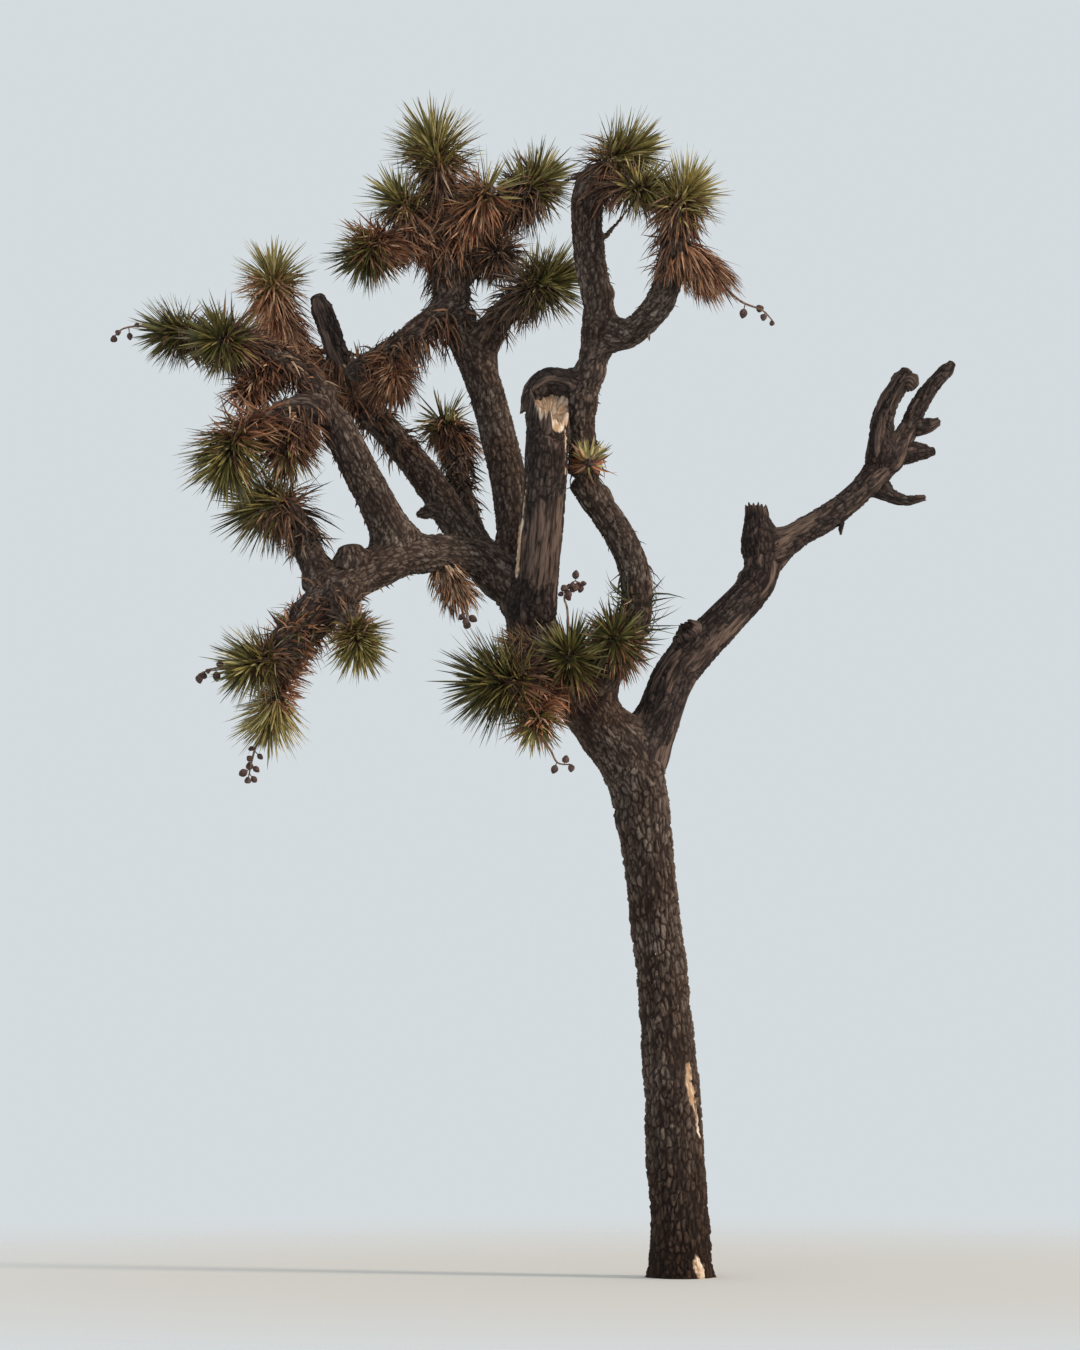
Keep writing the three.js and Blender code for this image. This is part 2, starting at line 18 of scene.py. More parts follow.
import bpy
import numpy as np
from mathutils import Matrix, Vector

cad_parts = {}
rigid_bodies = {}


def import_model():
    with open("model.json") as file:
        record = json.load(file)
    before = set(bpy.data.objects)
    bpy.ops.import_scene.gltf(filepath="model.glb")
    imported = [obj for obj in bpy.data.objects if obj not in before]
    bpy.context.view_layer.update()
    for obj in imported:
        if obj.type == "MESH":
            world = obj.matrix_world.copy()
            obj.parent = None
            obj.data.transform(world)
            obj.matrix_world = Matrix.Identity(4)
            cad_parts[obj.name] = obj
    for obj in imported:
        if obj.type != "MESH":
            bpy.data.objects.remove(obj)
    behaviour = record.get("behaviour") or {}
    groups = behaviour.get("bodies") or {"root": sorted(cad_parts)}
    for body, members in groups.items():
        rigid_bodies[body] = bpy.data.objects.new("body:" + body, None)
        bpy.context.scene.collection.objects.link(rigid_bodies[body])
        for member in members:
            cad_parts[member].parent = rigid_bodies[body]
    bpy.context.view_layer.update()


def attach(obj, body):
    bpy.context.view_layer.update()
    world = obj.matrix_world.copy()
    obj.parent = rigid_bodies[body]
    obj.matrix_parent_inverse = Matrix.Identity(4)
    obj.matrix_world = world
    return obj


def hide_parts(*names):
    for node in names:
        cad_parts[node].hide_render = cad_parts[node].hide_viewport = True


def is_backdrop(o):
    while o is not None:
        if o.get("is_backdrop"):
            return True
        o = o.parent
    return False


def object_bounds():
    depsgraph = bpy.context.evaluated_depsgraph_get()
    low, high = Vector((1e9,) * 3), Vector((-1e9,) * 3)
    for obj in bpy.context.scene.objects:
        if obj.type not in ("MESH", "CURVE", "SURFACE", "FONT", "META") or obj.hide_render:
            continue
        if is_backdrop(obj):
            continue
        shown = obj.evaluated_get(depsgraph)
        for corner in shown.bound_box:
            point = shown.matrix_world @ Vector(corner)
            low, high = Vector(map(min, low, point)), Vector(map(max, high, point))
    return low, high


Array = np.ndarray
Place = tuple[float, float, float]

LOG = logging.getLogger("joshua_tree")
MM = 0.001
GOLDEN_ANGLE = math.pi * (3 - math.sqrt(5))
BODY = "root"

# Large odd factors that mix the bits of a cell's numbers, and the bits of the result that are read.
CELL_FACTORS = (374761393, 668265263, 2147483647)
SEED_FACTOR = 1274126177
MIX_FACTOR = 1103515245
READ_BITS = 0xFFFFFF

# A Mix node for colours: its settings, and the numbers of its sockets.
MIXED = {"data_type": "RGBA", "clamp_factor": True}
MULTIPLIED = {**MIXED, "blend_type": "MULTIPLY"}
SHARE, FIRST, SECOND, RESULT = 0, 6, 7, 2


class End(Enum):
    """How a limb ends."""

    FLAT = "foliage takes over"
    DOME = "an old rounded stump"
    BROKEN = "splintered"


class Wood(Enum):
    """The record's slot that a limb takes its finish from."""

    BARK = "bark"
    DEAD = "dead_wood"


class Leaf(Enum):
    """The record's slot that leaves take their finish from."""

    LIVE = "live_leaves"
    DEAD = "dead_leaves"


@dataclass(frozen=True)
class Limb:
    """One tapering limb or spur.

    Args:
        name: the node that it stands for, or the spur's own name.
        girth: diameters at its root and its tip, in mm.
        way: the points that its centreline runs through, in mm.
        end: how it ends.
        wood: what covers it.
        spurs: side shoots that belong to the same piece.
        fresh: how pale its broken wood still is, from 0 to 1.
        slant: how far a break slopes down from its highest splinter, in mm.
        splinter: the direction of that splinter from the limb's middle.
        collar: how much stouter the limb is just above its root.
    """

    name: str
    girth: tuple[float, float]
    way: tuple[Place, ...]
    end: End = End.FLAT
    wood: Wood = Wood.BARK
    spurs: tuple["Limb", ...] = ()
    fresh: float = 0.0
    slant: float = 0.0
    splinter: Place = (0, 0, 0)
    collar: float = 0.12

    def radius(self, share: Array) -> Array:
        """Its plain radius at shares of its length, in metres."""
        return (self.girth[0] + (self.girth[1] - self.girth[0]) * share) * MM / 2


@dataclass(frozen=True)
class Mass:
    """One mass of foliage on a stem that leaves its limb.

    Args:
        name: the node that it stands for.
        limb: the limb that carries it, at its tip or at the share `at` of its length.
        centre: where its stem ends, in mm.
        reach: how far its leaves stand from there, in mm.
        live: leaves of the source's live kind, each standing for many.
        dead: the same for dead leaves.
        base: radius of its skirt where the stem leaves the limb, in mm.
        sag: how far the lowest live leaves droop.
        back: how far dead leaves lie back along the stem.
        stalk: way-points of a dry flower stalk, in mm.
        pods: how many seed pods that stalk bears.
        tint: how yellow its live leaves are, from 0 to 1.
        rust: how orange its dead leaves are, from 0 to 1.
        pale: how light they are besides, from -1 to 1; with tint and rust, partly painted light and shade.
        lank: length of its dead leaves as a share of what the source gives them.
        lean: a direction that its leaves are drawn towards.
        bunch: the share of its stalk, up to the end, that bears the pods.
    """

    name: str
    limb: str
    centre: Place
    reach: float
    live: int
    dead: int
    at: float | None = None
    base: float = 55
    sag: float = 0.16
    back: float = 0.5
    stalk: tuple[Place, ...] = ()
    pods: int = 7
    tint: float = 0.45
    rust: float = 0.5
    pale: float = 0.0
    lank: float = 1.0
    lean: Place = (0, 0, 0)
    bunch: float = 0.6


@dataclass(frozen=True)
class Shag:
    """Old leaves that still lie along a stretch of a limb.

    Args:
        limb: the limb that carries them.
        start: share of its length where they start.
        end: share where they stop.
        dense: leaves for each metre of limb.
        rust: how orange they are, from 0 to 1.
        length: their length, in mm.
        under: how much they keep to the limb's lower side, from 0 to 1.
        leaf: whether they are dead or still green.
    """

    limb: str
    start: float
    end: float
    dense: float = 600
    rust: float = 0.3
    length: float = 135
    under: float = 0.0
    leaf: Leaf = Leaf.DEAD


@dataclass(frozen=True)
class Scar:
    """A strip where the bark is gone and pale wood shows.

    Args:
        way: points along the strip, in mm.
        width: its half width, in mm.
        fresh: how pale it is, from 0 to 1.
    """

    way: tuple[Place, ...]
    width: float
    fresh: float


@dataclass(frozen=True)
class TrunkForm:
    """Sizes of the trunk, in mm where nothing else is said.

    Args:
        way: the points that its centreline runs through.
        height: how high it stands.
        slim_radius: radius of its slim middle.
        foot_extra: how much stouter its lower half is.
        foot_top: level where that lower half ends.
        foot_fade: how softly it ends.
        flare: how far the foot spreads at the ground.
        flare_fade: level at which little more than a third of that is left.
        swelling: how far the trunk swells at the fork.
        swelling_fade: depth under the fork at which little more than a third of that is left.
        root_lobes: lobes round the foot.
        lobe_depth: their depth, as a share of the radius.
        lobe_fade: level at which little more than a third of that depth is left.
        lobe_turn: where the first lobe stands, in radians.
        dome_share: share of the radius that is left at the very top.
        dome_start: share of the length where the top starts to draw in under the boughs.
    """

    way: tuple[Place, ...] = (
        (0, 0, 0), (-40, 15, 840), (-80, 30, 1340), (-140, 20, 1910), (-190, 5, 2330), (-262, 0, 2640),
    )
    height: float = 2590
    slim_radius: float = 124
    foot_extra: float = 18
    foot_top: float = 1250
    foot_fade: float = 112
    flare: float = 27
    flare_fade: float = 110
    swelling: float = 50
    swelling_fade: float = 240
    root_lobes: int = 3
    lobe_depth: float = 0.1
    lobe_fade: float = 160
    lobe_turn: float = -math.pi / 2
    dome_share: float = 0.45
    dome_start: float = 0.94


TRUNK = TrunkForm()

# Each limb starts inside the one that carries it.
LIMBS: tuple[Limb, ...] = (
    Limb("bough_left", (300, 250),
         ((-222, 5, 2400), (-262, 0, 2545), (-400, -20, 2740), (-565, -40, 2950), (-710, -50, 3170),
          (-795, -50, 3360)), End.DOME, collar=0.0),
    Limb("arm_lower", (252, 168),
         ((-203, 12, 2400), (-186, 20, 2560), (-42, 130, 2960), (98, 210, 3145), (368, 370, 3440),
          (412, 440, 3590)), wood=Wood.DEAD, collar=0.0,
         spurs=(Limb("arm_knot", (150, 104), ((95, 195, 3130), (18, 170, 3215)), End.BROKEN),)),
    Limb("bow_lower", (175, 145),
         ((-480, -60, 2860), (-335, -120, 3050), (-220, -150, 3310), (-262, -175, 3590),
          (-478, -190, 3930))),
    Limb("stem_centre", (192, 168),
         ((-800, -40, 3330), (-838, 130, 3840), (-985, 260, 4450), (-1150, 350, 4850),
          (-1175, 405, 5240))),
    Limb("limb_broken", (222, 220),
         ((-750, -70, 3230), (-705, -230, 3560), (-672, -325, 3900), (-632, -352, 4370)),
         End.BROKEN, Wood.DEAD, fresh=0.95, slant=92, splinter=(-0.5, 1, 0)),
    Limb("limb_west", (184, 212),
         ((-800, -50, 3370), (-1000, -130, 3550), (-1320, -330, 3560), (-1620, -510, 3420),
          (-1760, -600, 3310)),
         End.DOME,
         spurs=(Limb("west_stump", (178, 146), ((-1600, -500, 3430), (-1622, -515, 3578)), End.DOME),)),
    Limb("limb_low", (205, 180), ((-1730, -580, 3330), (-1815, -650, 3200), (-1930, -710, 3090))),
    Limb("limb_front", (130, 120), ((-1660, -530, 3390), (-1620, -700, 3270), (-1590, -800, 3190))),
    Limb("limb_riser", (135, 130), ((-1740, -560, 3370), (-1815, -500, 3560), (-1880, -460, 3720))),
    Limb("limb_inner", (198, 160),
         ((-1370, -365, 3560), (-1450, -380, 3730), (-1625, -420, 4070), (-1720, -440, 4270)), End.DOME),
    Limb("limb_arch", (130, 110), ((-1710, -440, 4200), (-1840, -490, 4275), (-1970, -530, 4250))),
    Limb("limb_tip", (135, 115),
         ((-1720, -440, 4240), (-1850, -400, 4440), (-2040, -380, 4550), (-2230, -370, 4610))),
    Limb("limb_outer", (186, 140),
         ((-850, -30, 3400), (-1050, 60, 3640), (-1300, 230, 4020), (-1610, 300, 4380)), End.DOME,
         spurs=(Limb("outer_spur", (64, 50), ((-1150, 125, 3805), (-1235, 80, 3812), (-1310, 55, 3790)),
                     End.DOME),)),
    Limb("limb_high", (135, 120), ((-1600, 300, 4360), (-1790, 300, 4500), (-1925, 290, 4640))),
    Limb("stub_high", (118, 115),
         ((-1590, 290, 4350), (-1710, 210, 4580), (-1760, 170, 4730), (-1820, 150, 4890)),
         End.DOME, Wood.DEAD),
    Limb("limb_back", (125, 105),
         ((-830, 20, 3450), (-1020, 250, 3680), (-1115, 450, 3980), (-1145, 590, 4190))),
    Limb("limb_drooping", (146, 100),
         ((-1120, 340, 4870), (-1255, 200, 4770), (-1410, 80, 4645), (-1560, 0, 4540), (-1630, -35, 4495))),
    Limb("bow_upper", (140, 134),
         ((-455, -190, 3920), (-490, -200, 4220), (-435, -235, 4510), (-380, -285, 4780)), End.DOME),
    Limb("limb_curled", (110, 84),
         ((-460, -225, 4390), (-560, -235, 4425), (-660, -245, 4430), (-735, -250, 4370),
          (-755, -255, 4280)),
         End.BROKEN, Wood.DEAD, fresh=0.15),
    Limb("limb_right_top", (145, 165),
         ((-428, -245, 4560), (-402, -283, 4760), (-447, -315, 5050), (-455, -355, 5300),
          (-395, -380, 5430)),
         spurs=(Limb("right_twig", (20, 10),
                     ((-395, -340, 5120), (-340, -350, 5160), (-250, -370, 5275))),)),
    Limb("limb_right", (135, 145),
         ((-400, -275, 4650), (-240, -350, 4662), (-85, -500, 4815), (-25, -615, 5080), (-12, -640, 5210))),
    Limb("limb_third", (135, 125), ((-1130, 390, 5060), (-1290, 340, 5200), (-1440, 290, 5200))),
    Limb("limb_fifth", (135, 125), ((-1130, 370, 4990), (-990, 470, 5220), (-840, 560, 5420))),
    Limb("limb_sixth", (140, 128), ((-1010, 300, 4620), (-920, 240, 4780), (-780, 150, 4900))),
    Limb("limb_fork", (130, 120), ((-560, -60, 2960), (-680, -270, 2990), (-780, -390, 2950))),
    Limb("arm_stub", (186, 134), ((405, 430, 3550), (392, 450, 3720), (382, 452, 3840)),
         End.BROKEN, Wood.DEAD),
    Limb("arm_upper", (150, 125),
         ((412, 440, 3590), (580, 520, 3715), (785, 600, 3840), (1020, 700, 4055)),
         wood=Wood.DEAD,
         spurs=(Limb("arm_twig", (86, 40),
                     ((970, 680, 4000), (1065, 720, 3935), (1145, 745, 3910), (1240, 760, 3925)),
                     End.BROKEN),
                Limb("arm_splinter", (34, 10), ((790, 590, 3850), (815, 588, 3790), (812, 588, 3725)),
                     End.BROKEN))),
    Limb("finger_left", (135, 100),
         ((1010, 700, 4040), (1018, 690, 4240), (1050, 650, 4390), (1150, 590, 4555)),
         End.DOME, Wood.DEAD,
         spurs=(Limb("finger_knob", (84, 62), ((1120, 605, 4498), (1164, 592, 4502), (1188, 588, 4480)),
                     End.DOME),)),
    Limb("finger_right", (115, 80),
         ((1020, 705, 4050), (1115, 745, 4180), (1238, 850, 4440), (1390, 915, 4625)),
         End.DOME, Wood.DEAD,
         spurs=(Limb("finger_low", (92, 68), ((1090, 735, 4140), (1195, 780, 4155), (1290, 800, 4165)),
                     End.DOME),
                Limb("finger_middle", (70, 52), ((1170, 790, 4290), (1255, 800, 4290), (1312, 805, 4315)),
                     End.BROKEN))),
)

# Tint, rust and pale partly paint light: masses in the sun are lighter and those in shade darker.
MASSES: tuple[Mass, ...] = (
    Mass("rosette_top", "stem_centre", (-1255, 455, 5710), 275, 17, 10, base=130, tint=0.65, rust=0.5),
    Mass("rosette_top_left", "stem_centre", (-1430, 320, 5415), 225, 8, 9, at=0.95, base=90, tint=0.35),
    Mass("rosette_between", "stem_centre", (-960, 300, 5460), 230, 3, 14, at=0.96, base=95, rust=0.75,
         pale=0.15),
    Mass("rosette_third", "limb_third", (-1590, 240, 5110), 225, 11, 9, sag=0.4, tint=0.15, rust=0.8),
    Mass("rosette_fifth", "limb_fifth", (-715, 620, 5545), 245, 14, 7, base=80, tint=0.6, rust=0.4),
    Mass("skirt_fifth", "limb_fifth", (-890, 330, 5110), 205, 0, 10, at=0.42, back=0, rust=0.4, pale=-0.3),
    Mass("rosette_sixth", "limb_sixth", (-640, 90, 4960), 250, 16, 5, sag=0.15, tint=0.3, rust=0.3,
         lean=(0, 0, 0.25)),
    Mass("rosette_right_top", "limb_right_top", (-240, -400, 5545), 240, 16, 4, tint=0.55),
    Mass("rosette_right_middle", "limb_right_top", (-150, -585, 5330), 195, 10, 3, at=0.945, tint=0.7),
    Mass("rosette_right", "limb_right", (35, -675, 5310), 230, 16, 7, tint=0.95, rust=0.5, pale=0.3),
    Mass("skirt_right", "limb_right", (175, -640, 4895), 220, 0, 13, at=0.84, base=95, back=0,
         stalk=((290, -655, 4780), (400, -670, 4730), (450, -670, 4680)), pods=4, rust=0.7, pale=0.45,
         lank=0.9, lean=(0.55, 0, -0.85)),
    Mass("rosette_high", "limb_high", (-2050, 250, 5025), 225, 12, 14, base=155, tint=0.7, rust=0.9,
         pale=0.8),
    Mass("rosette_tip", "limb_tip", (-2520, -360, 4665), 210, 14, 5, sag=0.35,
         stalk=((-2640, -380, 4690), (-2740, -390, 4680), (-2790, -390, 4640)), pods=4, tint=0.12,
         pale=-0.25),
    Mass("rosette_tip_front", "limb_tip", (-2265, -565, 4610), 235, 12, 6, at=0.86, sag=0.4, tint=0.3,
         pale=-0.15),
    Mass("skirt_left", "limb_tip", (-2150, -400, 4330), 175, 0, 9, at=0.62, back=0, rust=0.7),
    Mass("rosette_arch", "limb_arch", (-1950, -500, 4040), 235, 4, 11, at=0.6, back=0, rust=0.6, pale=-0.1),
    Mass("rosette_left", "limb_arch", (-2215, -650, 4000), 270, 16, 5, sag=0.35, tint=0.35, rust=0.75,
         pale=-0.1),
    Mass("rosette_riser", "limb_riser", (-2065, -370, 3800), 275, 14, 6, base=100, sag=0.3, tint=0.3,
         rust=0.45),
    Mass("rosette_low", "limb_low", (-2095, -780, 2990), 235, 14, 7, base=95,
         stalk=((-2250, -800, 2980), (-2335, -805, 2950)), pods=5, tint=0.4, rust=0.5, pale=0.4, lank=0.62),
    Mass("rosette_hanging", "limb_low", (-2008, -550, 2740), 230, 13, 6, at=0.7, base=70, sag=0.4,
         stalk=((-2070, -550, 2620), (-2090, -555, 2550), (-2110, -560, 2455)), pods=8, tint=0.6, rust=0.95,
         pale=0.6, lank=0.62),
    Mass("rosette_front", "limb_front", (-1550, -890, 3080), 200, 14, 4, tint=0.75, rust=0.5, pale=0.2,
         lank=0.7),
    Mass("rosette_back", "limb_back", (-1225, 690, 4320), 205, 8, 9, base=90, tint=0.2, rust=0.6,
         pale=-0.4, lean=(0.25, 0, -0.4)),
    Mass("skirt_drooping", "limb_drooping", (-1430, -80, 4410), 230, 0, 12, at=0.72, base=100, back=0,
         rust=0.75, pale=0.1, lank=0.85, lean=(-0.2, 0, -0.3)),
    Mass("skirt_west", "limb_west", (-1085, -195, 3360), 170, 0, 8, at=0.42, back=0,
         stalk=((-1065, -240, 3310), (-1050, -255, 3240)), pods=4, rust=0.5, pale=1.0,
         lean=(0.35, 0, -0.5), bunch=0.4),
    Mass("skirt_fork", "bough_left", (-800, -190, 3095), 170, 0, 8, at=0.756, base=90, back=0, rust=0.45,
         pale=0.3, lean=(-0.7, 0, 0.6)),
    Mass("rosette_fork", "limb_fork", (-925, -490, 2925), 310, 19, 4, tint=0.18, rust=0.55, pale=-0.55),
    Mass("rosette_fork_low", "limb_fork", (-715, -470, 2700), 180, 4, 8, at=0.5, back=0,
         stalk=((-640, -510, 2600), (-600, -530, 2530), (-530, -540, 2520)), pods=3, tint=0.4, rust=0.9,
         pale=0.3, bunch=0.4),
    Mass("rosette_fork_front", "bough_left", (-545, -355, 3065), 245, 12, 8, at=0.564, base=70,
         stalk=((-555, -400, 3280), (-570, -405, 3350), (-525, -400, 3425), (-485, -395, 3410)), pods=14,
         tint=0.2, rust=0.7, pale=-0.5, bunch=0.3),
    Mass("rosette_fork_right", "bow_lower", (-330, -350, 3150), 215, 9, 10, at=0.25, base=65,
         tint=0.15, rust=0.65, pale=-0.5),
    Mass("rosette_bow", "bow_upper", (-450, -350, 4015), 150, 4, 4, at=0.12, tint=0.75, rust=0.95,
         lean=(-0.05, 0.9, 0.85)),
)

SHAGS: tuple[Shag, ...] = (
    Shag("stem_centre", 0.72, 1.0, rust=0.35),
    Shag("limb_third", 0.1, 1.0, rust=0.95),
    Shag("limb_fifth", 0.2, 1.0, rust=0.45),
    Shag("limb_sixth", 0.35, 1.0, rust=0.4),
    Shag("limb_right_top", 0.89, 1.0, dense=420, rust=0.3),
    Shag("limb_right", 0.62, 1.0, rust=0.7, under=0.3),
    Shag("limb_high", 0.0, 1.0, dense=900, rust=0.85, length=170),
    Shag("limb_tip", 0.12, 1.0, rust=0.6),
    Shag("limb_arch", 0.2, 1.0, rust=0.55, under=1.0),
    Shag("limb_riser", 0.6, 1.0, rust=0.3),
    Shag("limb_low", 0.15, 1.0, rust=0.7, length=115, under=0.3),
    Shag("limb_low", 0.42, 0.92, dense=640, rust=1.0, length=100),
    Shag("limb_west", 0.86, 1.0, dense=420, rust=0.35, length=105),
    Shag("limb_low", 0.3, 1.0, dense=160, rust=0.2, length=150, leaf=Leaf.LIVE),
    Shag("limb_front", 0.2, 1.0, dense=400, rust=0.4, length=100),
    Shag("limb_back", 0.6, 1.0, rust=0.3),
    Shag("limb_drooping", 0.12, 1.0, dense=780, rust=0.6, length=185, under=1.0),
    Shag("limb_outer", 0.7, 1.0, dense=400, rust=0.42, length=125),
    Shag("limb_drooping", 0.78, 1.0, dense=420, rust=0.5, length=120),
    Shag("stub_high", 0.0, 0.5, dense=620, rust=0.65, length=145),
    Shag("limb_fork", 0.1, 1.0, rust=0.5),
    Shag("bow_lower", 0.28, 0.62, dense=110, rust=0.35, length=100),
    Shag("bow_lower", 0.16, 0.5, dense=260, rust=0.1, length=190, leaf=Leaf.LIVE),
    Shag("bow_upper", 0.0, 0.25, dense=160, rust=0.4, length=100),
)

SCARS: tuple[Scar, ...] = (
    Scar(((50, -100, 1055), (55, -96, 960), (62, -88, 880)), 34, 0.95),
    Scar(((66, -86, 880), (84, -66, 780), (96, -48, 700)), 17, 0.9),
    Scar(((92, -132, 82), (112, -122, 0)), 38, 1.0),
    Scar(((-752, -414, 4010), (-765, -389, 3870), (-779, -352, 3760)), 9, 0.75),
    Scar(((-785, -337, 3725), (-800, -292, 3600), (-808, -254, 3470)), 19, 1.0),
    Scar(((-562, -395, 4170), (-556, -390, 4050), (-560, -370, 3960)), 11, 0.85),
    Scar(((-1665, 185, 4545), (-1640, 200, 4440), (-1615, 215, 4345)), 12, 0.8),
    # The next two strips are partly pale weathered wood and partly painted highlight on sunlit edges.
    Scar(((-1480, 178, 4235), (-1435, 160, 4200), (-1400, 150, 4160)), 15, 0.35),
    Scar(((-1225, 95, 4100), (-1180, 60, 4040), (-1160, 40, 3990)), 14, 0.4),
)

# The few short stumps of old leaves on living bark. The stout lowest bough has shed all of its own.
STUBBLE: tuple[Shag, ...] = tuple(
    Shag(limb.name, 0.04, 0.96, dense=70, rust=0.15, length=42)
    for limb in LIMBS if limb.wood is Wood.BARK and limb.name != "bough_left")


class Seed(IntEnum):
    """Where the settled random numbers of each kind of piece start."""

    TRUNK = 5
    SCARS = 7
    STALKS = 40
    LIMBS = 100
    LIVE = 300
    DEAD = 700
    SHAGS = 900
    SHOOTS = 5000


def unit(vectors: Array) -> Array:
    """Vectors made one long, along the last axis."""
    return vectors / np.maximum(np.linalg.norm(vectors, axis=-1, keepdims=True), 1e-9)


def smooth(low: float, high: float, value: Array) -> Array:
    """A soft step from 0 at low to 1 at high: 3t^2 - 2t^3 of the share t between them."""
    share = np.clip((value - low) / (high - low), 0, 1)
    return share * share * (3 - 2 * share)


def scatter(cells: Array, seed: int) -> Array:
    """A settled number between 0 and 1 for each whole-numbered cell.

    Args:
        cells: whole numbers, three to a row.
        seed: another seed gives other numbers.

    Returns:
        One number a row, from a multiply and shift hash.
    """
    mixed = cells @ np.array(CELL_FACTORS) + seed * SEED_FACTOR
    mixed = (mixed ^ (mixed >> 13)) * MIX_FACTOR
    mixed = mixed ^ (mixed >> 16)
    return (mixed & READ_BITS) / READ_BITS


def noise(points: Array, seed: int = 0, octaves: int = 1) -> Array:
    """Smooth noise between about -1 and 1.

    Each octave blends the numbers at the eight corners of a point's unit cell, and is twice as fine
    and half as strong as the one before.

    Args:
        points: places in cell units, three to a row.
        seed: another seed gives other noise.
        octaves: how many are added up.

    Returns:
        One number for each place.
    """
    total = np.zeros(len(points))
    for octave in range(octaves):
        scaled = points * 2.0**octave
        cell = np.floor(scaled).astype(np.int64)
        part = scaled - cell
        part = part * part * (3 - 2 * part)
        for corner in np.ndindex(2, 2, 2):
            weight = np.prod(np.where(corner, part, 1 - part), axis=1)
            total += weight * (2 * scatter(cell + np.array(corner), seed + octave) - 1) * 0.5**octave
    return total


def plates(points: Array, seed: int = 0) -> tuple[Array, Array]:
    """A pattern of plates with furrows between them.

    One feature point lies at a settled place in each unit cell. A plate is what is nearest to one
    of them, and its furrow is where the two nearest are equally far. Distances are fourth roots of
    sums of fourth powers, which squares the plates off.

    Args:
        points: places in cell units, three to a row.
        seed: another seed gives another pattern.

    Returns:
        How far each point is from the nearest furrow, and its plate's own number between 0 and 1.
    """
    cell = np.floor(points).astype(np.int64)
    nearest = np.full(len(points), 9.0)
    second = nearest.copy()
    tone = np.zeros(len(points))
    for corner in np.ndindex(3, 3, 3):
        here = cell + (np.array(corner) - 1)
        feature = here + np.stack([scatter(here, seed + axis) for axis in (1, 2, 3)], axis=1)
        gap = ((points - feature) ** 4).sum(1) ** 0.25
        closer = gap < nearest
        second = np.where(closer, nearest, np.minimum(second, gap))
        tone = np.where(closer, scatter(here, seed + 4), tone)
        nearest = np.where(closer, gap, nearest)
    return second - nearest, tone


@dataclass
class Line:
    """A smooth centreline that is walked by the share of its length.

    Args:
        points: closely spaced points along it, in metres.
    """

    points: Array
    walked: Array = field(init=False)
    length: float = field(init=False)

    def __post_init__(self) -> None:
        """Adds up the length from point to point."""
        steps = np.linalg.norm(np.diff(self.points, axis=0), axis=1)
        self.walked = np.concatenate([[0.0], np.cumsum(steps)])
        self.length = float(self.walked[-1])

    @classmethod
    def through(cls, way: Sequence[Place], fine: int = 60) -> "Line":
        """A Catmull-Rom curve through way-points, with its end points mirrored outward.

        Args:
            way: way-points in mm.
            fine: steps between two way-points.

        Returns:
            The curve, in metres.
        """
        knots = np.array(way, float) * MM
        padded = np.vstack([2 * knots[0] - knots[1], knots, 2 * knots[-1] - knots[-2]])
        time = np.linspace(0, len(knots) - 1, fine * (len(knots) - 1) + 1)
        span = np.minimum(time.astype(int), len(knots) - 2)
        t = (time - span)[:, None]
        before, start, stop, after = (padded[span + step] for step in range(4))
        leave, arrive = (stop - before) / 2, (after - start) / 2
        bent = (2 * start - 2 * stop + leave + arrive) * t**3
        bent += (3 * stop - 3 * start - 2 * leave - arrive) * t**2
        return cls(bent + leave * t + start)

    @classmethod
    def bowed(cls, root: Array, bend: Array, tip: Array, fine: int = 60) -> "Line":
        """A quadratic curve, in metres.

        Args:
            root: where it starts.
            bend: the point that it leaves towards.
            tip: where it ends.
            fine: how many points it gets.

        Returns:
            The curve.
        """
        t = np.linspace(0, 1, fine)[:, None]
        return cls((1 - t) ** 2 * root + 2 * t * (1 - t) * bend + t**2 * tip)

    def at(self, share: Array | float) -> Array:
        """Points at shares of the length, one to a row."""
        walked = np.atleast_1d(share) * self.length
        return np.stack([np.interp(walked, self.walked, self.points[:, axis]) for axis in range(3)], axis=1)

    def heading(self, share: Array | float) -> Array:
        """Directions at shares of the length, from points a hundredth of it before and after."""
        share = np.atleast_1d(share)
        return unit(self.at(np.minimum(share + 0.01, 1)) - self.at(np.maximum(share - 0.01, 0)))

    def nearest(self, places: Array, samples: int = 70) -> tuple[Array, Array]:
        """How near the line comes to each place, measured to points spaced evenly along it.

        Args:
            places: places in metres.
            samples: how many points of the line are measured to.

        Returns:
            The distance from each place, and the share of the length where the line is nearest.
        """
        share = np.linspace(0, 1, samples)
        stops = self.at(share)
        square = (places**2).sum(1)[:, None] + (stops**2).sum(1)[None] - 2 * places @ stops.T
        index = square.argmin(1)
        return np.sqrt(np.maximum(square[np.arange(len(places)), index], 0)), share[index]

    def spokes(self, share: Array, angle: Array) -> Array:
        """Directions across the line, by share of its length and then by angle round it."""
        _, side, over = self.frame(share)
        return side[:, None] * np.cos(angle)[:, None] + over[:, None] * np.sin(angle)[:, None]

    def frame(self, share: Array) -> tuple[Array, Array, Array]:
        """Heading, and the two directions across it, at shares of the length.

        The first lies across the heading and the depth axis, so that a ring keeps its turn from one
        end of a limb to the other.

        Args:
            share: shares of the length.

        Returns:
            The heading, the first direction across it and the second, for each share.
        """
        ahead = self.heading(share)
        side = unit(np.cross(np.array([0.0, 1.0, 0.0]), ahead))
        return ahead, side, np.cross(ahead, side)


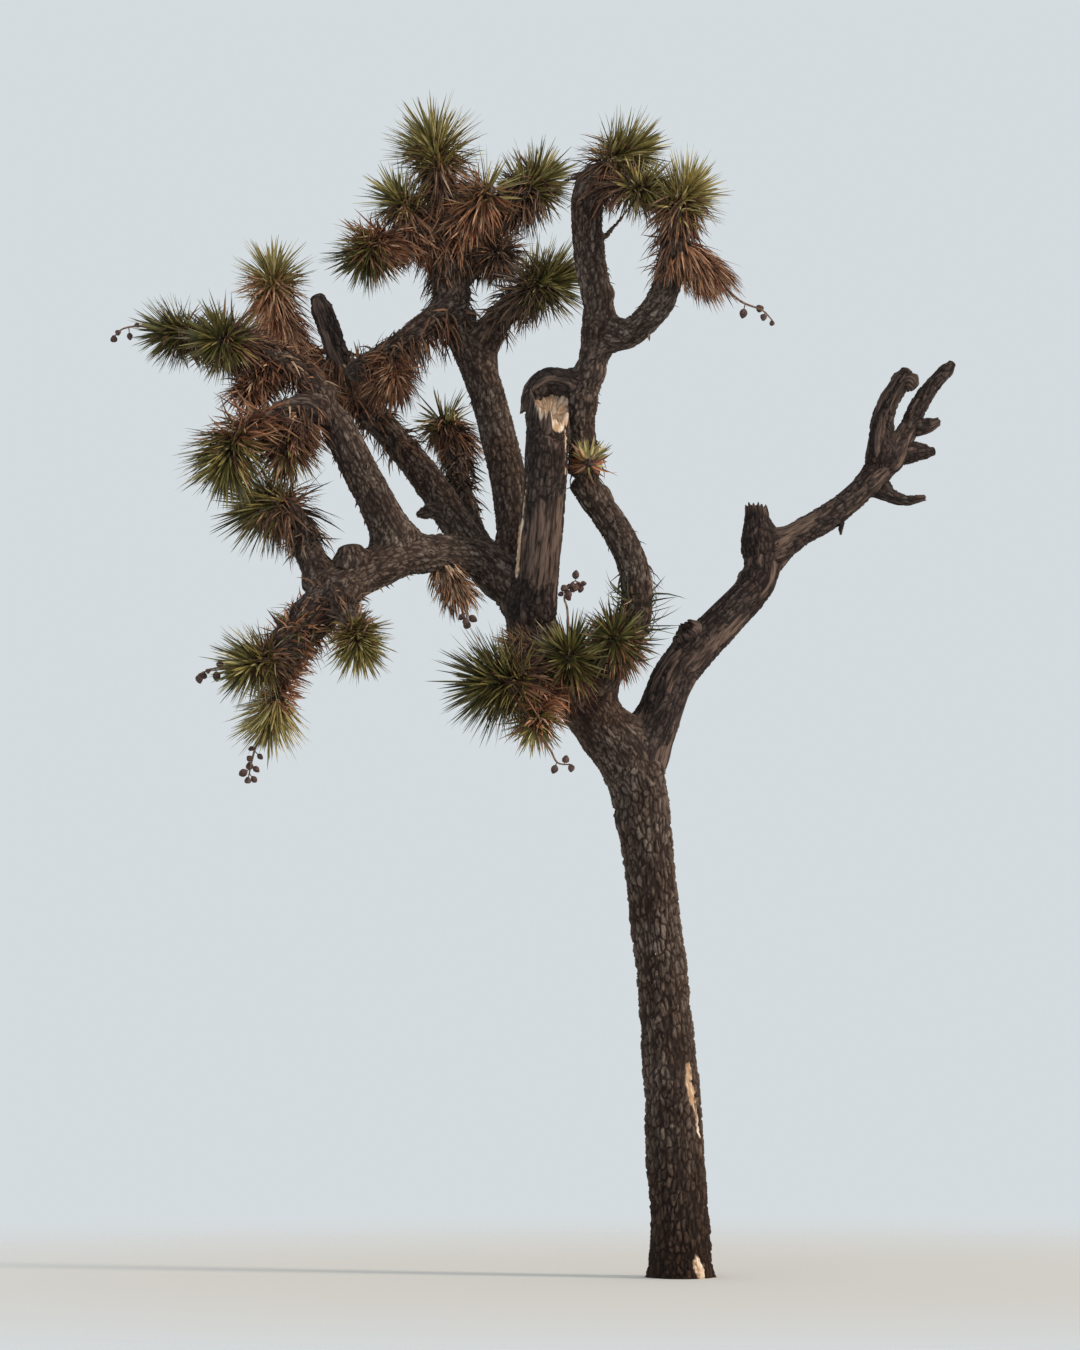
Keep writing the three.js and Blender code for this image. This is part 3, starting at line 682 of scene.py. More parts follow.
@dataclass
class Patch:
    """Part of a mesh as plain arrays.

    Args:
        points: vertices, in metres.
        faces: arrays of faces, each array with one number of corners.
        layers: a number or a vector for each vertex, by attribute name.
    """

    points: Array
    faces: list[Array]
    layers: dict[str, Array]

    @staticmethod
    def join(patches: Sequence["Patch"]) -> "Patch":
        """Several patches as one, with their faces renumbered.

        Args:
            patches: patches with the same attributes.

        Returns:
            The joined patch.
        """
        starts = np.cumsum([0] + [len(patch.points) for patch in patches[:-1]])
        faces = [block + start for patch, start in zip(patches, starts) for block in patch.faces]
        names = patches[0].layers
        layers = {name: np.concatenate([patch.layers[name] for patch in patches]) for name in names}
        return Patch(np.concatenate([patch.points for patch in patches]), faces, layers)

    def triangles(self) -> int:
        """How many triangles its faces come to."""
        return sum(len(block) * (block.shape[1] - 2) for block in self.faces)


def make_piece(name: str, patch: Patch, finish: bpy.types.Material,
               nodes: Iterable[str], rounded: bool) -> bpy.types.Object:
    """Puts a patch into a mesh object that rides on the tree.

    Args:
        name: the piece's name.
        patch: its points, faces and attributes.
        finish: its material.
        nodes: the CAD nodes that it stands for.
        rounded: whether its faces are shaded smooth.

    Returns:
        The new object, at the origin.
    """
    mesh = bpy.data.meshes.new(name)
    corners = np.concatenate([block.ravel() for block in patch.faces]).astype(np.int32)
    sizes = np.concatenate([np.full(len(block), block.shape[1]) for block in patch.faces])
    mesh.vertices.add(len(patch.points))
    mesh.vertices.foreach_set("co", patch.points.astype(np.float32).ravel())
    mesh.loops.add(len(corners))
    mesh.loops.foreach_set("vertex_index", corners)
    mesh.polygons.add(len(sizes))
    mesh.polygons.foreach_set("loop_start", (np.cumsum(sizes) - sizes).astype(np.int32))
    mesh.polygons.foreach_set("use_smooth", np.full(len(sizes), rounded))
    for layer, values in patch.layers.items():
        kind, field_name = ("FLOAT", "value") if values.ndim == 1 else ("FLOAT_VECTOR", "vector")
        attribute = mesh.attributes.new(layer, kind, "POINT")
        attribute.data.foreach_set(field_name, values.astype(np.float32).ravel())
    mesh.update(calc_edges=True)
    mesh.validate()
    mesh.materials.append(finish)
    piece = bpy.data.objects.new(name, mesh)
    bpy.context.scene.collection.objects.link(piece)
    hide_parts(*nodes)
    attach(piece, BODY)
    LOG.info("%s: %d triangles, stands for %s", name, patch.triangles(), ", ".join(nodes))
    return piece


def linear(code: str) -> tuple[float, float, float, float]:
    """An sRGB hex colour as the linear numbers that a shader takes."""
    parts = [int(code[start:start + 2], 16) / 255 for start in (1, 3, 5)]
    return (*(part / 12.92 if part <= 0.04045 else ((part + 0.055) / 1.055) ** 2.4 for part in parts), 1.0)


def node(tree: bpy.types.NodeTree, kind: str, settings: dict[str, Any] | None = None,
         inputs: dict[str | int, Any] | None = None,
         stops: Sequence[tuple[float, str]] = ()) -> bpy.types.Node:
    """Adds one shader node.

    Args:
        tree: the material's node tree.
        kind: Blender's name for the node.
        settings: values for its own properties.
        inputs: for each socket a value, or another node's output to link from.
        stops: for a colour ramp, the places and hex colours of its stops.

    Returns:
        The node.
    """
    made = tree.nodes.new(kind)
    for name, value in (settings or {}).items():
        setattr(made, name, value)
    for socket, value in (inputs or {}).items():
        if isinstance(value, bpy.types.NodeSocket):
            tree.links.new(value, made.inputs[socket])
        else:
            made.inputs[socket].default_value = value
    if stops:
        elements = made.color_ramp.elements
        while len(elements) < len(stops):
            elements.new(0.5)
        for element, (place, code) in zip(elements, stops):
            element.position = place
            element.color = linear(code)
    return made


def empty_material(name: str) -> tuple[bpy.types.Material, bpy.types.NodeTree]:
    """A material with nothing in its node tree.

    Args:
        name: the material's name.

    Returns:
        The material and its node tree.
    """
    material = bpy.data.materials.new(name)
    material.use_nodes = True
    material.node_tree.nodes.clear()
    return material, material.node_tree


@dataclass(frozen=True)
class CorkBark:
    """Thick corky bark of an old tree yucca: grey-brown plates over dark furrows, bare wood in scars.

    The plates are as dull as cork, with fibres along the limb. The relief's depth picks the colour:
    darker deep in the furrows, partly as painted shade, and lighter on the highest parts, partly as
    painted highlight. Where the bark has gone the wood is cracked along its grain, silver-brown when
    it has weathered and straw pale when it is fresh.

    Args:
        name: the material's name.
        furrow: colour deep in a furrow, partly painted shade.
        flank: colour on a plate's side.
        plate: colour on a plate.
        worn: colour of its highest parts, partly wear and partly painted highlight.
        stain: what wide patches are multiplied by.
        old_wood: weathered bare wood.
        dark_wood: the same in its cracks.
        pale_wood: freshly bared wood.
        pale_grain: the same where its grain is dark.
        foot_shade: what the foot of the trunk is multiplied by.
        grit_mm: size of the bark's grit.
        fibre_mm: distance between fibres.
        fibre_stretch: how many times longer than that a fibre is.
        stain_mm: size of the wide patches.
        foot_m: level where the foot's shade ends, in metres.
        texture_share: how much grit and fibres add to the height that picks the colour.
    """

    name: str
    furrow: str = "#2d231e"
    flank: str = "#473a32"
    plate: str = "#665a50"
    worn: str = "#80736a"
    stain: str = "#b08a70"
    old_wood: str = "#71604f"
    dark_wood: str = "#33291f"
    pale_wood: str = "#e9dac6"
    pale_grain: str = "#b58e69"
    foot_shade: str = "#a08c7c"
    grit_mm: float = 5.0
    fibre_mm: float = 7.0
    fibre_stretch: float = 9.0
    stain_mm: float = 240.0
    foot_m: float = 1.1
    texture_share: float = 0.42

    def material(self) -> bpy.types.Material:
        """Builds the material from the furrow, plate, bare, fresh, grain and laid attributes.

        Returns:
            The material.
        """
        material, tree = empty_material(self.name)
        layers = {name: node(tree, "ShaderNodeAttribute", {"attribute_name": name}).outputs["Fac"]
                  for name in ("furrow", "plate", "bare", "fresh", "grain")}
        laid = node(tree, "ShaderNodeAttribute", {"attribute_name": "laid"}).outputs["Vector"]
        where = node(tree, "ShaderNodeTexCoord").outputs["Object"]
        drawn_out = node(tree, "ShaderNodeVectorMath", {"operation": "MULTIPLY"}, {
            0: laid, 1: (1, 1, 1 / self.fibre_stretch)})
        fibre = node(tree, "ShaderNodeTexNoise", {}, {
            "Vector": drawn_out.outputs["Vector"], "Scale": 1 / (self.fibre_mm * MM), "Detail": 3.0,
            "Roughness": 0.6}).outputs["Fac"]
        grit = node(tree, "ShaderNodeTexNoise", {}, {
            "Vector": where, "Scale": 1 / (self.grit_mm * MM), "Detail": 3.0,
            "Roughness": 0.6}).outputs["Fac"]
        stain = node(tree, "ShaderNodeTexNoise", {}, {
            "Vector": where, "Scale": 1 / (self.stain_mm * MM), "Detail": 4.0, "Roughness": 0.55})
        texture = node(tree, "ShaderNodeMath", {"operation": "ADD"}, {0: grit, 1: fibre}).outputs[0]
        height = node(tree, "ShaderNodeMath", {"operation": "MULTIPLY_ADD"}, {
            0: texture, 1: self.texture_share, 2: layers["furrow"]})
        lowered = node(tree, "ShaderNodeMath", {"operation": "SUBTRACT"}, {
            0: height.outputs[0], 1: self.texture_share})
        # Colour by depth: dark furrows are partly painted shade, light tops partly painted highlight.
        cork = node(tree, "ShaderNodeValToRGB", {}, {"Fac": lowered.outputs[0]}, (
            (0.04, self.furrow), (0.34, self.flank), (0.72, self.plate), (1.0, self.worn)))
        tones = node(tree, "ShaderNodeMapRange", {}, {
            "Value": layers["plate"], "To Min": 0.88, "To Max": 1.1})
        streaks = node(tree, "ShaderNodeMapRange", {}, {
            "Value": layers["grain"], "To Min": 0.8, "To Max": 1.14})
        level = node(tree, "ShaderNodeMath", {"operation": "MULTIPLY"}, {
            0: tones.outputs["Result"], 1: streaks.outputs["Result"]})
        shaded = node(tree, "ShaderNodeVectorMath", {"operation": "SCALE"}, {
            0: cork.outputs["Color"], "Scale": level.outputs[0]})
        patches = node(tree, "ShaderNodeMapRange", {}, {
            "Value": stain.outputs["Fac"], "From Min": 0.42, "From Max": 0.66, "To Max": 0.6})
        stained = node(tree, "ShaderNodeMix", MULTIPLIED, {
            SHARE: patches.outputs["Result"], FIRST: shaded.outputs["Vector"],
            SECOND: linear(self.stain)}).outputs[RESULT]
        above = node(tree, "ShaderNodeSeparateXYZ", {}, {"Vector": where})
        foot = node(tree, "ShaderNodeMapRange", {"interpolation_type": "SMOOTHSTEP"}, {
            "Value": above.outputs["Z"], "From Max": self.foot_m, "To Min": 1.0, "To Max": 0.0})
        bark = node(tree, "ShaderNodeMix", MULTIPLIED, {
            SHARE: foot.outputs["Result"], FIRST: stained,
            SECOND: linear(self.foot_shade)}).outputs[RESULT]
        lines = node(tree, "ShaderNodeMapRange", {}, {
            "Value": fibre, "From Min": 0.36, "From Max": 0.66, "To Min": -0.45, "To Max": 0.35})
        grain = node(tree, "ShaderNodeMath", {"operation": "ADD", "use_clamp": True}, {
            0: layers["grain"], 1: lines.outputs["Result"]}).outputs[0]
        old, pale = (node(tree, "ShaderNodeMix", MIXED, {
            SHARE: grain, FIRST: linear(dark), SECOND: linear(light)}).outputs[RESULT]
            for dark, light in ((self.dark_wood, self.old_wood), (self.pale_grain, self.pale_wood)))
        wood = node(tree, "ShaderNodeMix", MIXED, {
            SHARE: layers["fresh"], FIRST: old, SECOND: pale}).outputs[RESULT]
        colour = node(tree, "ShaderNodeMix", MIXED, {
            SHARE: layers["bare"], FIRST: bark, SECOND: wood}).outputs[RESULT]
        bump = node(tree, "ShaderNodeBump", {}, {"Strength": 0.6, "Distance": 0.005, "Height": texture})
        surface = node(tree, "ShaderNodeBsdfPrincipled", {}, {
            "Base Color": colour, "Roughness": 0.92, "IOR": 1.45, "Specular IOR Level": 0.25,
            "Normal": bump.outputs["Normal"]})
        node(tree, "ShaderNodeOutputMaterial", {}, {"Surface": surface.outputs["BSDF"]})
        return material


@dataclass(frozen=True)
class LeafFinish:
    """Stiff leaf blades, coloured by each leaf's own tone and warmth and by the way along it.

    A live one is waxy and a little glossy, straw at its clasping base and dark at its spine. A dead
    one is dry and dull, from fresh orange straw to weathered grey-brown.

    Args:
        name: the material's name.
        cool: colours by tone where warmth is 0.
        warm: the same where warmth is 1.
        base: colour at the clasping base.
        spine: colour of the spine at the tip.
        roughness: how dull the blade is.
        mottle_mm: size of its faint mottle.
    """

    name: str
    cool: tuple[tuple[float, str], ...]
    warm: tuple[tuple[float, str], ...]
    base: str
    spine: str
    roughness: float
    mottle_mm: float = 22.0

    def material(self) -> bpy.types.Material:
        """Builds the material from the tone, warmth and along attributes.

        Returns:
            The material.
        """
        material, tree = empty_material(self.name)
        layers = {name: node(tree, "ShaderNodeAttribute", {"attribute_name": name}).outputs["Fac"]
                  for name in ("tone", "warmth", "along")}
        where = node(tree, "ShaderNodeTexCoord").outputs["Object"]
        mottle = node(tree, "ShaderNodeTexNoise", {}, {
            "Vector": where, "Scale": 1 / (self.mottle_mm * MM), "Detail": 2.0, "Roughness": 0.5})
        shifted = node(tree, "ShaderNodeMath", {"operation": "MULTIPLY_ADD"}, {
            0: mottle.outputs["Fac"], 1: 0.3, 2: layers["tone"]})
        centred = node(tree, "ShaderNodeMath", {"operation": "SUBTRACT"}, {0: shifted.outputs[0], 1: 0.15})
        ramps = [node(tree, "ShaderNodeValToRGB", {}, {"Fac": centred.outputs[0]}, stops)
                 for stops in (self.cool, self.warm)]
        blade = node(tree, "ShaderNodeMix", MIXED, {
            SHARE: layers["warmth"], FIRST: ramps[0].outputs["Color"],
            SECOND: ramps[1].outputs["Color"]}).outputs[RESULT]
        at_base = node(tree, "ShaderNodeMapRange", {}, {
            "Value": layers["along"], "From Min": 0.0, "From Max": 0.3, "To Min": 0.6, "To Max": 0.0})
        at_spine = node(tree, "ShaderNodeMapRange", {}, {
            "Value": layers["along"], "From Min": 0.84, "From Max": 0.97, "To Min": 0.0, "To Max": 0.85})
        based = node(tree, "ShaderNodeMix", MIXED, {
            SHARE: at_base.outputs["Result"], FIRST: blade, SECOND: linear(self.base)}).outputs[RESULT]
        colour = node(tree, "ShaderNodeMix", MIXED, {
            SHARE: at_spine.outputs["Result"], FIRST: based, SECOND: linear(self.spine)}).outputs[RESULT]
        surface = node(tree, "ShaderNodeBsdfPrincipled", {}, {
            "Base Color": colour, "Roughness": self.roughness, "IOR": 1.45, "Specular IOR Level": 0.4})
        node(tree, "ShaderNodeOutputMaterial", {}, {"Surface": surface.outputs["BSDF"]})
        return material


@dataclass(frozen=True)
class DryFinish:
    """Dry stalks or woody seed pods: dull, with a darker mottle.

    Args:
        name: the material's name.
        light: the lighter colour.
        dark: the darker colour.
        mottle_mm: size of the mottle.
        roughness: how dull it is.
    """

    name: str
    light: str
    dark: str
    mottle_mm: float
    roughness: float

    def material(self) -> bpy.types.Material:
        """Builds the material from one noise between its two colours.

        Returns:
            The material.
        """
        material, tree = empty_material(self.name)
        where = node(tree, "ShaderNodeTexCoord").outputs["Object"]
        mottle = node(tree, "ShaderNodeTexNoise", {}, {
            "Vector": where, "Scale": 1 / (self.mottle_mm * MM), "Detail": 3.0, "Roughness": 0.6})
        colour = node(tree, "ShaderNodeValToRGB", {}, {"Fac": mottle.outputs["Fac"]}, (
            (0.35, self.dark), (0.65, self.light)))
        bump = node(tree, "ShaderNodeBump", {}, {
            "Strength": 0.4, "Distance": 0.002, "Height": mottle.outputs["Fac"]})
        surface = node(tree, "ShaderNodeBsdfPrincipled", {}, {
            "Base Color": colour.outputs["Color"], "Roughness": self.roughness, "IOR": 1.45,
            "Normal": bump.outputs["Normal"]})
        node(tree, "ShaderNodeOutputMaterial", {}, {"Surface": surface.outputs["BSDF"]})
        return material


# Living leaf under a thin wax: yellow-green to olive, with a soft gloss along the blade.
LIVE_LEAF = LeafFinish(
    "waxy_dagger_leaf",
    cool=((0.0, "#272817"), (0.3, "#444525"), (0.6, "#6d6c3d"), (1.0, "#a6a16c")),
    warm=((0.0, "#372f1a"), (0.3, "#65572d"), (0.6, "#9a8749"), (1.0, "#d6c48c")),
    base="#8d7a50", spine="#2b231a", roughness=0.48)

# Sun-dried leaf: fibrous and almost without gloss, orange-brown fading to grey-brown.
DEAD_LEAF = LeafFinish(
    "dry_dagger_leaf",
    cool=((0.0, "#2a221c"), (0.3, "#4a3c2f"), (0.6, "#76614c"), (1.0, "#bda68c")),
    warm=((0.0, "#3a2119"), (0.3, "#6e432e"), (0.6, "#a9704a"), (1.0, "#e6bc98")),
    base="#4d3c30", spine="#35281f", roughness=0.8)

# Dry pithy stalk, dull and tan.
STALK_WOOD = DryFinish("dry_flower_stalk", light="#8d6d57", dark="#4a3930", mottle_mm=14, roughness=0.85)

# Woody shell of an old seed pod: reddish-brown, a little smoother than the stalk.
POD_SHELL = DryFinish("woody_seed_pod", light="#5f453b", dark="#2a1d19", mottle_mm=9, roughness=0.75)


@dataclass
class BarkSkin:
    """Works out the bark of a limb on a grid of rings.

    Args:
        step: about how far apart the points lie, in mm.
        plate_width: width of a plate, in mm.
        plate_length: its length along the limb, in mm.
        depth: how deep a furrow is, in mm.
        peeled: share of the limb where the bark has gone.
        dome_kept: share of the tip's radius that a dome draws in to before its cap.
        dome_lost: the rest of it, which its cap rises by.
        broken_kept: shares of the radius that the rows of a broken end keep.
        broken_pushed: how far those rows are pushed outward, in radii.
        plain_rise: how far the cap of a plain end rises, in radii.
        bark_level: height of the bark that lies on the limb's own radius.
        wood_level: the same for bare wood.
        crease_reach: how far from another limb's surface the skin still swells, in metres.
        crease_height: how far it swells at that surface, in metres.
        crease_girth: diameter from which it does so in full, in mm.
        crease_alike: how much alike two surfaces face where it is gone and where it is whole.
    """

    step: float
    plate_width: float
    plate_length: float
    depth: float
    peeled: float = 0.0
    dome_kept: float = 0.66
    dome_lost: float = 0.34
    broken_kept: tuple[float, ...] = (0.84, 0.76, 0.66, 0.56, 0.45, 0.34, 0.22, 0.1, 0.0)
    broken_pushed: tuple[float, ...] = (-0.02, -0.1, -0.17, -0.24, -0.29, -0.33, -0.37, -0.4, -0.42)
    plain_rise: float = 0.6
    bark_level: float = 0.62
    wood_level: float = 0.7
    crease_reach: float = 0.095
    crease_height: float = 0.036
    crease_girth: float = 120
    crease_alike: tuple[float, float] = (0.92, 0.45)

    def rings(self, limb: Limb, line: Line) -> tuple[Array, Array, Array]:
        """The rows of rings from root to tip, with the rows of the closing cap.

        Args:
            limb: the limb.
            line: its centreline.

        Returns:
            For each row its share of the length, how much of the radius it keeps, and how far it is
            pushed along the tip's heading, in radii of the tip.
        """
        count = max(6, round(line.length / (self.step * MM)))
        share = np.linspace(0, 1, count)
        keep = np.ones(count)
        from_tip = (1 - share) * line.length / (limb.girth[1] * MM / 2)
        if limb.end is End.DOME:
            keep = 1 - self.dome_lost * (1 - smooth(0, 1.1, from_tip))
            turn = np.linspace(0, math.pi / 2, 9)[1:]
            cap_keep, cap_push = self.dome_kept * np.cos(turn), self.dome_lost * np.sin(turn)
        elif limb.end is End.BROKEN:
            keep = 1 - 0.12 * (1 - smooth(0, 1.5, from_tip))
            cap_keep, cap_push = np.array(self.broken_kept), np.array(self.broken_pushed)
        else:
            turn = np.linspace(0, math.pi / 2, 6)[1:]
            cap_keep, cap_push = np.cos(turn), self.plain_rise * np.sin(turn)
        share = np.concatenate([share, np.ones(len(cap_keep))])
        return share, np.concatenate([keep, cap_keep]), np.concatenate([np.zeros(count), cap_push])

    def around(self, girth: float) -> int:
        """How many points a ring of a limb of that girth has."""
        return max(20, round(math.pi * girth / self.step))

    def relief(self, local: Array, seed: int) -> dict[str, Array]:
        """Plates, cracks and grain at places in the limb's own straightened space.

        The height is a soft step up from each furrow to its plate, with plates of unlike height,
        finer cracks across them and a little grain.

        Args:
            local: places with the limb laid straight along their third axis, in metres.
            seed: another seed gives other bark.

        Returns:
            The height, the same held between 0 and 1 as the furrow, and each plate's own number.
        """
        warp = np.stack([noise(local / 0.05, seed + 20 + axis, 2) for axis in range(3)], axis=1)
        bent = local + warp * np.array([0.006, 0.006, 0.014])
        size = np.array([self.plate_width, self.plate_width, self.plate_length]) * MM
        edge, tone = plates(bent / size, seed)
        crack, _ = plates(bent / (size * np.array([0.55, 0.55, 0.36])), seed + 9)
        rift = np.abs(noise(bent / (size * np.array([1.5, 1.5, 4.5])), seed + 40, 2))
        top = smooth(0.0, 0.24, edge) * (0.3 + 0.7 * smooth(0.0, 0.2, rift))
        fine = smooth(0.0, 0.3, crack)
        grit = noise(local / np.array([0.009, 0.009, 0.04]), seed + 30, 2)
        height = top * (0.64 + 0.26 * tone) - 0.24 * (1 - fine) * top + 0.26 * grit
        return {"height": height, "furrow": np.clip(height, 0, 1), "plate": tone}

    def patch(self, limb: Limb, seed: int, radius_at: Callable[[Array, Array], Array],
              line: Line, neighbours: Sequence[tuple[Line, Limb]]) -> Patch:
        """The closed skin of one limb.

        A point lies at centre(s) + R(s, a) (cos a side + sin a over), where R is the limb's radius
        with its lumps, the bark's relief and a swelling next to any limb that it meets.

        Args:
            limb: the limb.
            seed: another seed gives other bark.
            radius_at: radius in metres from share and angle.
            line: its centreline.
            neighbours: the limbs that it may meet.

        Returns:
            The skin, with what its material reads.
        """
        share, keep, push = self.rings(limb, line)
        pushed = push * limb.girth[1] * MM / 2
        around = self.around(max(limb.girth))
        angle = np.linspace(0, 2 * math.pi, around, endpoint=False)
        centre = line.at(share) + line.heading(1.0) * pushed[:, None]
        spoke = line.spokes(share, angle).reshape(-1, 3)
        rows, turns = (grid.ravel() for grid in np.meshgrid(share, angle, indexing="ij"))
        radius = radius_at(rows, turns)
        walked = rows * line.length + np.repeat(pushed, around)
        local = np.stack([radius * np.cos(turns), radius * np.sin(turns), walked], axis=1)
        rough = self.relief(local, seed)
        lumps = noise(local / np.array([0.16, 0.16, 0.22]), seed + 50, 2)
        on_side = np.repeat(push == 0, around)
        kept = np.repeat(keep, around)
        bare, fresh, grain = self.bareness(limb, local, spoke, rows, line, on_side, kept, seed)
        depth = self.depth * MM * (rough["height"] - self.bark_level)
        worn = self.depth * MM * (0.5 * grain - self.wood_level)
        offset = depth * (1 - bare) + worn * bare
        reach = radius * (1 + 0.055 * lumps) * kept + offset * np.minimum(kept * 1.5, 1)
        points = np.repeat(centre, around, axis=0) + spoke * reach[:, None]
        if limb.end is End.BROKEN:
            points += self.splinters(limb, spoke, turns, rows, kept, on_side, line, seed)
        points += spoke * self.swelling(points, spoke, max(limb.girth), neighbours)[:, None]
        layers = {"furrow": rough["furrow"], "plate": rough["plate"], "bare": bare, "fresh": fresh,
                  "grain": grain, "laid": local}
        return self.close(points, len(share), around, layers)

    def bareness(self, limb: Limb, local: Array, spoke: Array, share: Array, line: Line,
                 on_side: Array, kept: Array, seed: int) -> tuple[Array, Array, Array]:
        """Where the bark has gone, how pale the wood is there, and its grain along the limb.

        The grain is noise drawn out along the limb, dark where its slower waves cross zero: there
        the wood has cracked. A slanting break is pale along its low rim and at its peak.

        Args:
            limb: the limb.
            local: places with the limb laid straight along their third axis, in metres.
            spoke: the way that each point lies from the centreline.
            share: its share of the length.
            line: the limb's centreline.
            on_side: whether it lies on the side and not on the cap.
            kept: how much of the radius is kept there.
            seed: another seed gives other wood.

        Returns:
            The three, each from 0 to 1.
        """
        turn = unit(local[:, :2]) * np.where(on_side, 1.0, kept)[:, None]
        grain = noise(np.column_stack([turn * 8, local[:, 2] / 0.13]), seed + 60, 3)
        crack = np.abs(noise(np.column_stack([turn * 3.2, local[:, 2] / 0.34]), seed + 61, 2))
        grain = np.clip(0.55 + 0.8 * grain, 0, 1) * (0.15 + 0.85 * smooth(0.0, 0.13, crack))
        ragged = noise(np.column_stack([turn * 2.2, local[:, 2] / 0.05]), seed + 70, 2)
        bare = np.zeros(len(local))
        if self.peeled:
            peel = noise(np.column_stack([turn * 1.3, local[:, 2] / 0.2]), seed + 80, 3)
            bare = smooth(0.61 - self.peeled, 0.69 - self.peeled, peel)
        fresh = np.zeros(len(local))
        if limb.end is End.BROKEN:
            from_tip = (1 - share) * line.length
            torn = 1 - smooth(0.0, 0.045, from_tip + 0.03 * ragged)
            torn = np.where(on_side, torn, 1.0)
            bare = np.maximum(bare, torn)
            fresh = limb.fresh * np.where(on_side, smooth(0.2, 0.7, torn), 1.0)
            if limb.slant:
                facing = spoke @ unit(np.array(limb.splinter, float))
                at_rim = np.where(on_side, torn, smooth(0.55, 0.9, kept))
                inside = np.where(on_side, 0.0, smooth(0.9, 0.6, kept))
                ends = np.maximum(smooth(0.1, -0.6, facing), smooth(0.55, 0.9, facing))
                fresh *= np.maximum(0.16 + 0.5 * inside, ends * at_rim)
                grain *= 1 - 0.4 * inside
        return bare, fresh, grain

    def splinters(self, limb: Limb, spoke: Array, angle: Array, share: Array, kept: Array,
                  on_side: Array, line: Line, seed: int) -> Array:
        """How far a torn end's points are drawn out along the limb.

        The rim stands up in splinters: noise across the break, sharpened by a power, fades out below
        the rim and is lower inside it. A slanting break drops away from its peak.

        Args:
            limb: the limb.
            spoke: the way that each point lies from the centreline.
            angle: its angle round the limb.
            share: its share of the length.
            kept: how much of the radius is kept there.
            on_side: whether it lies on the side and not on the cap.
            line: the limb's centreline.
            seed: another seed gives other splinters.

        Returns:
            How far each point moves, in metres.
        """
        place = np.column_stack([np.cos(angle) * kept, np.sin(angle) * kept, np.zeros(len(angle))])
        broad = noise(place * 1.1, seed + 90, 1)
        sharp = np.abs(noise(place * 4.5, seed + 91, 2)) ** 0.7
        girth = limb.girth[1] * MM
        from_tip = (1 - share) * line.length
        rim = np.where(on_side, smooth(0.35, 0.0, from_tip / girth), 0.5 + 0.5 * smooth(0.5, 0.85, kept))
        drawn = (0.2 * broad + 0.22 * sharp) * girth * rim
        if limb.slant:
            facing = spoke @ unit(np.array(limb.splinter, float)) * np.where(on_side, 1.0, kept)
            slope = np.where(on_side, smooth(3.4, 0.0, from_tip / (limb.slant * MM)), 1.0)
            drawn = drawn + limb.slant * MM * (facing - 0.9) * slope
        return line.heading(1.0) * drawn[:, None]

    def swelling(self, points: Array, spoke: Array, girth: float,
                 neighbours: Sequence[tuple[Line, Limb]]) -> Array:
        """How far points swell into the crease with another limb.

        It is h (1 - d / w)^2 at a distance d under w from that limb's surface, lower for a thin limb,
        and fades out where both surfaces face the same way.

        Args:
            points: places on this limb's skin.
            spoke: the way that the skin faces there.
            girth: this limb's diameter, in mm.
            neighbours: the limbs that it may meet.

        Returns:
            How far each point swells outward, in metres.
        """
        height = self.crease_height * min(1.0, girth / self.crease_girth)
        swell = np.zeros(len(points))
        for line, limb in neighbours:
            far, share = line.nearest(points)
            away = np.clip(np.abs(far - limb.radius(share)) / self.crease_reach, 0, 1)
            alike = (spoke * (points - line.at(share))).sum(1) / np.maximum(far, 1e-6)
            swell = np.maximum(swell, height * (1 - away) ** 2 * smooth(*self.crease_alike, alike))
        return swell

    @staticmethod
    def close(points: Array, rows: int, around: int, layers: dict[str, Array]) -> Patch:
        """Joins rings into quads and closes both ends with a fan to a middle point.

        Args:
            points: the points, ring after ring.
            rows: how many rings there are.
            around: how many points each has.
            layers: attributes of the points. A middle point gets those of its ring's first or last.

        Returns:
            The closed patch.
        """
        ring = np.arange(around)
        row = np.arange(rows - 1)[:, None] * around
        after = (ring + 1) % around
        quads = np.stack([row + ring, row + after, row + around + after, row + around + ring], axis=-1)
        first, last = len(points), len(points) + 1
        top = (rows - 1) * around
        foot_fan = np.column_stack([np.full(around, first), after, ring])
        head_fan = np.column_stack([np.full(around, last), top + ring, top + after])
        middles = np.stack([points[:around].mean(0), points[-around:].mean(0)])
        capped = {name: np.concatenate([values, values[:1], values[-1:]])
                  for name, values in layers.items()}
        faces = [quads.reshape(-1, 4), foot_fan, head_fan]
        return Patch(np.concatenate([points, middles]), faces, capped)


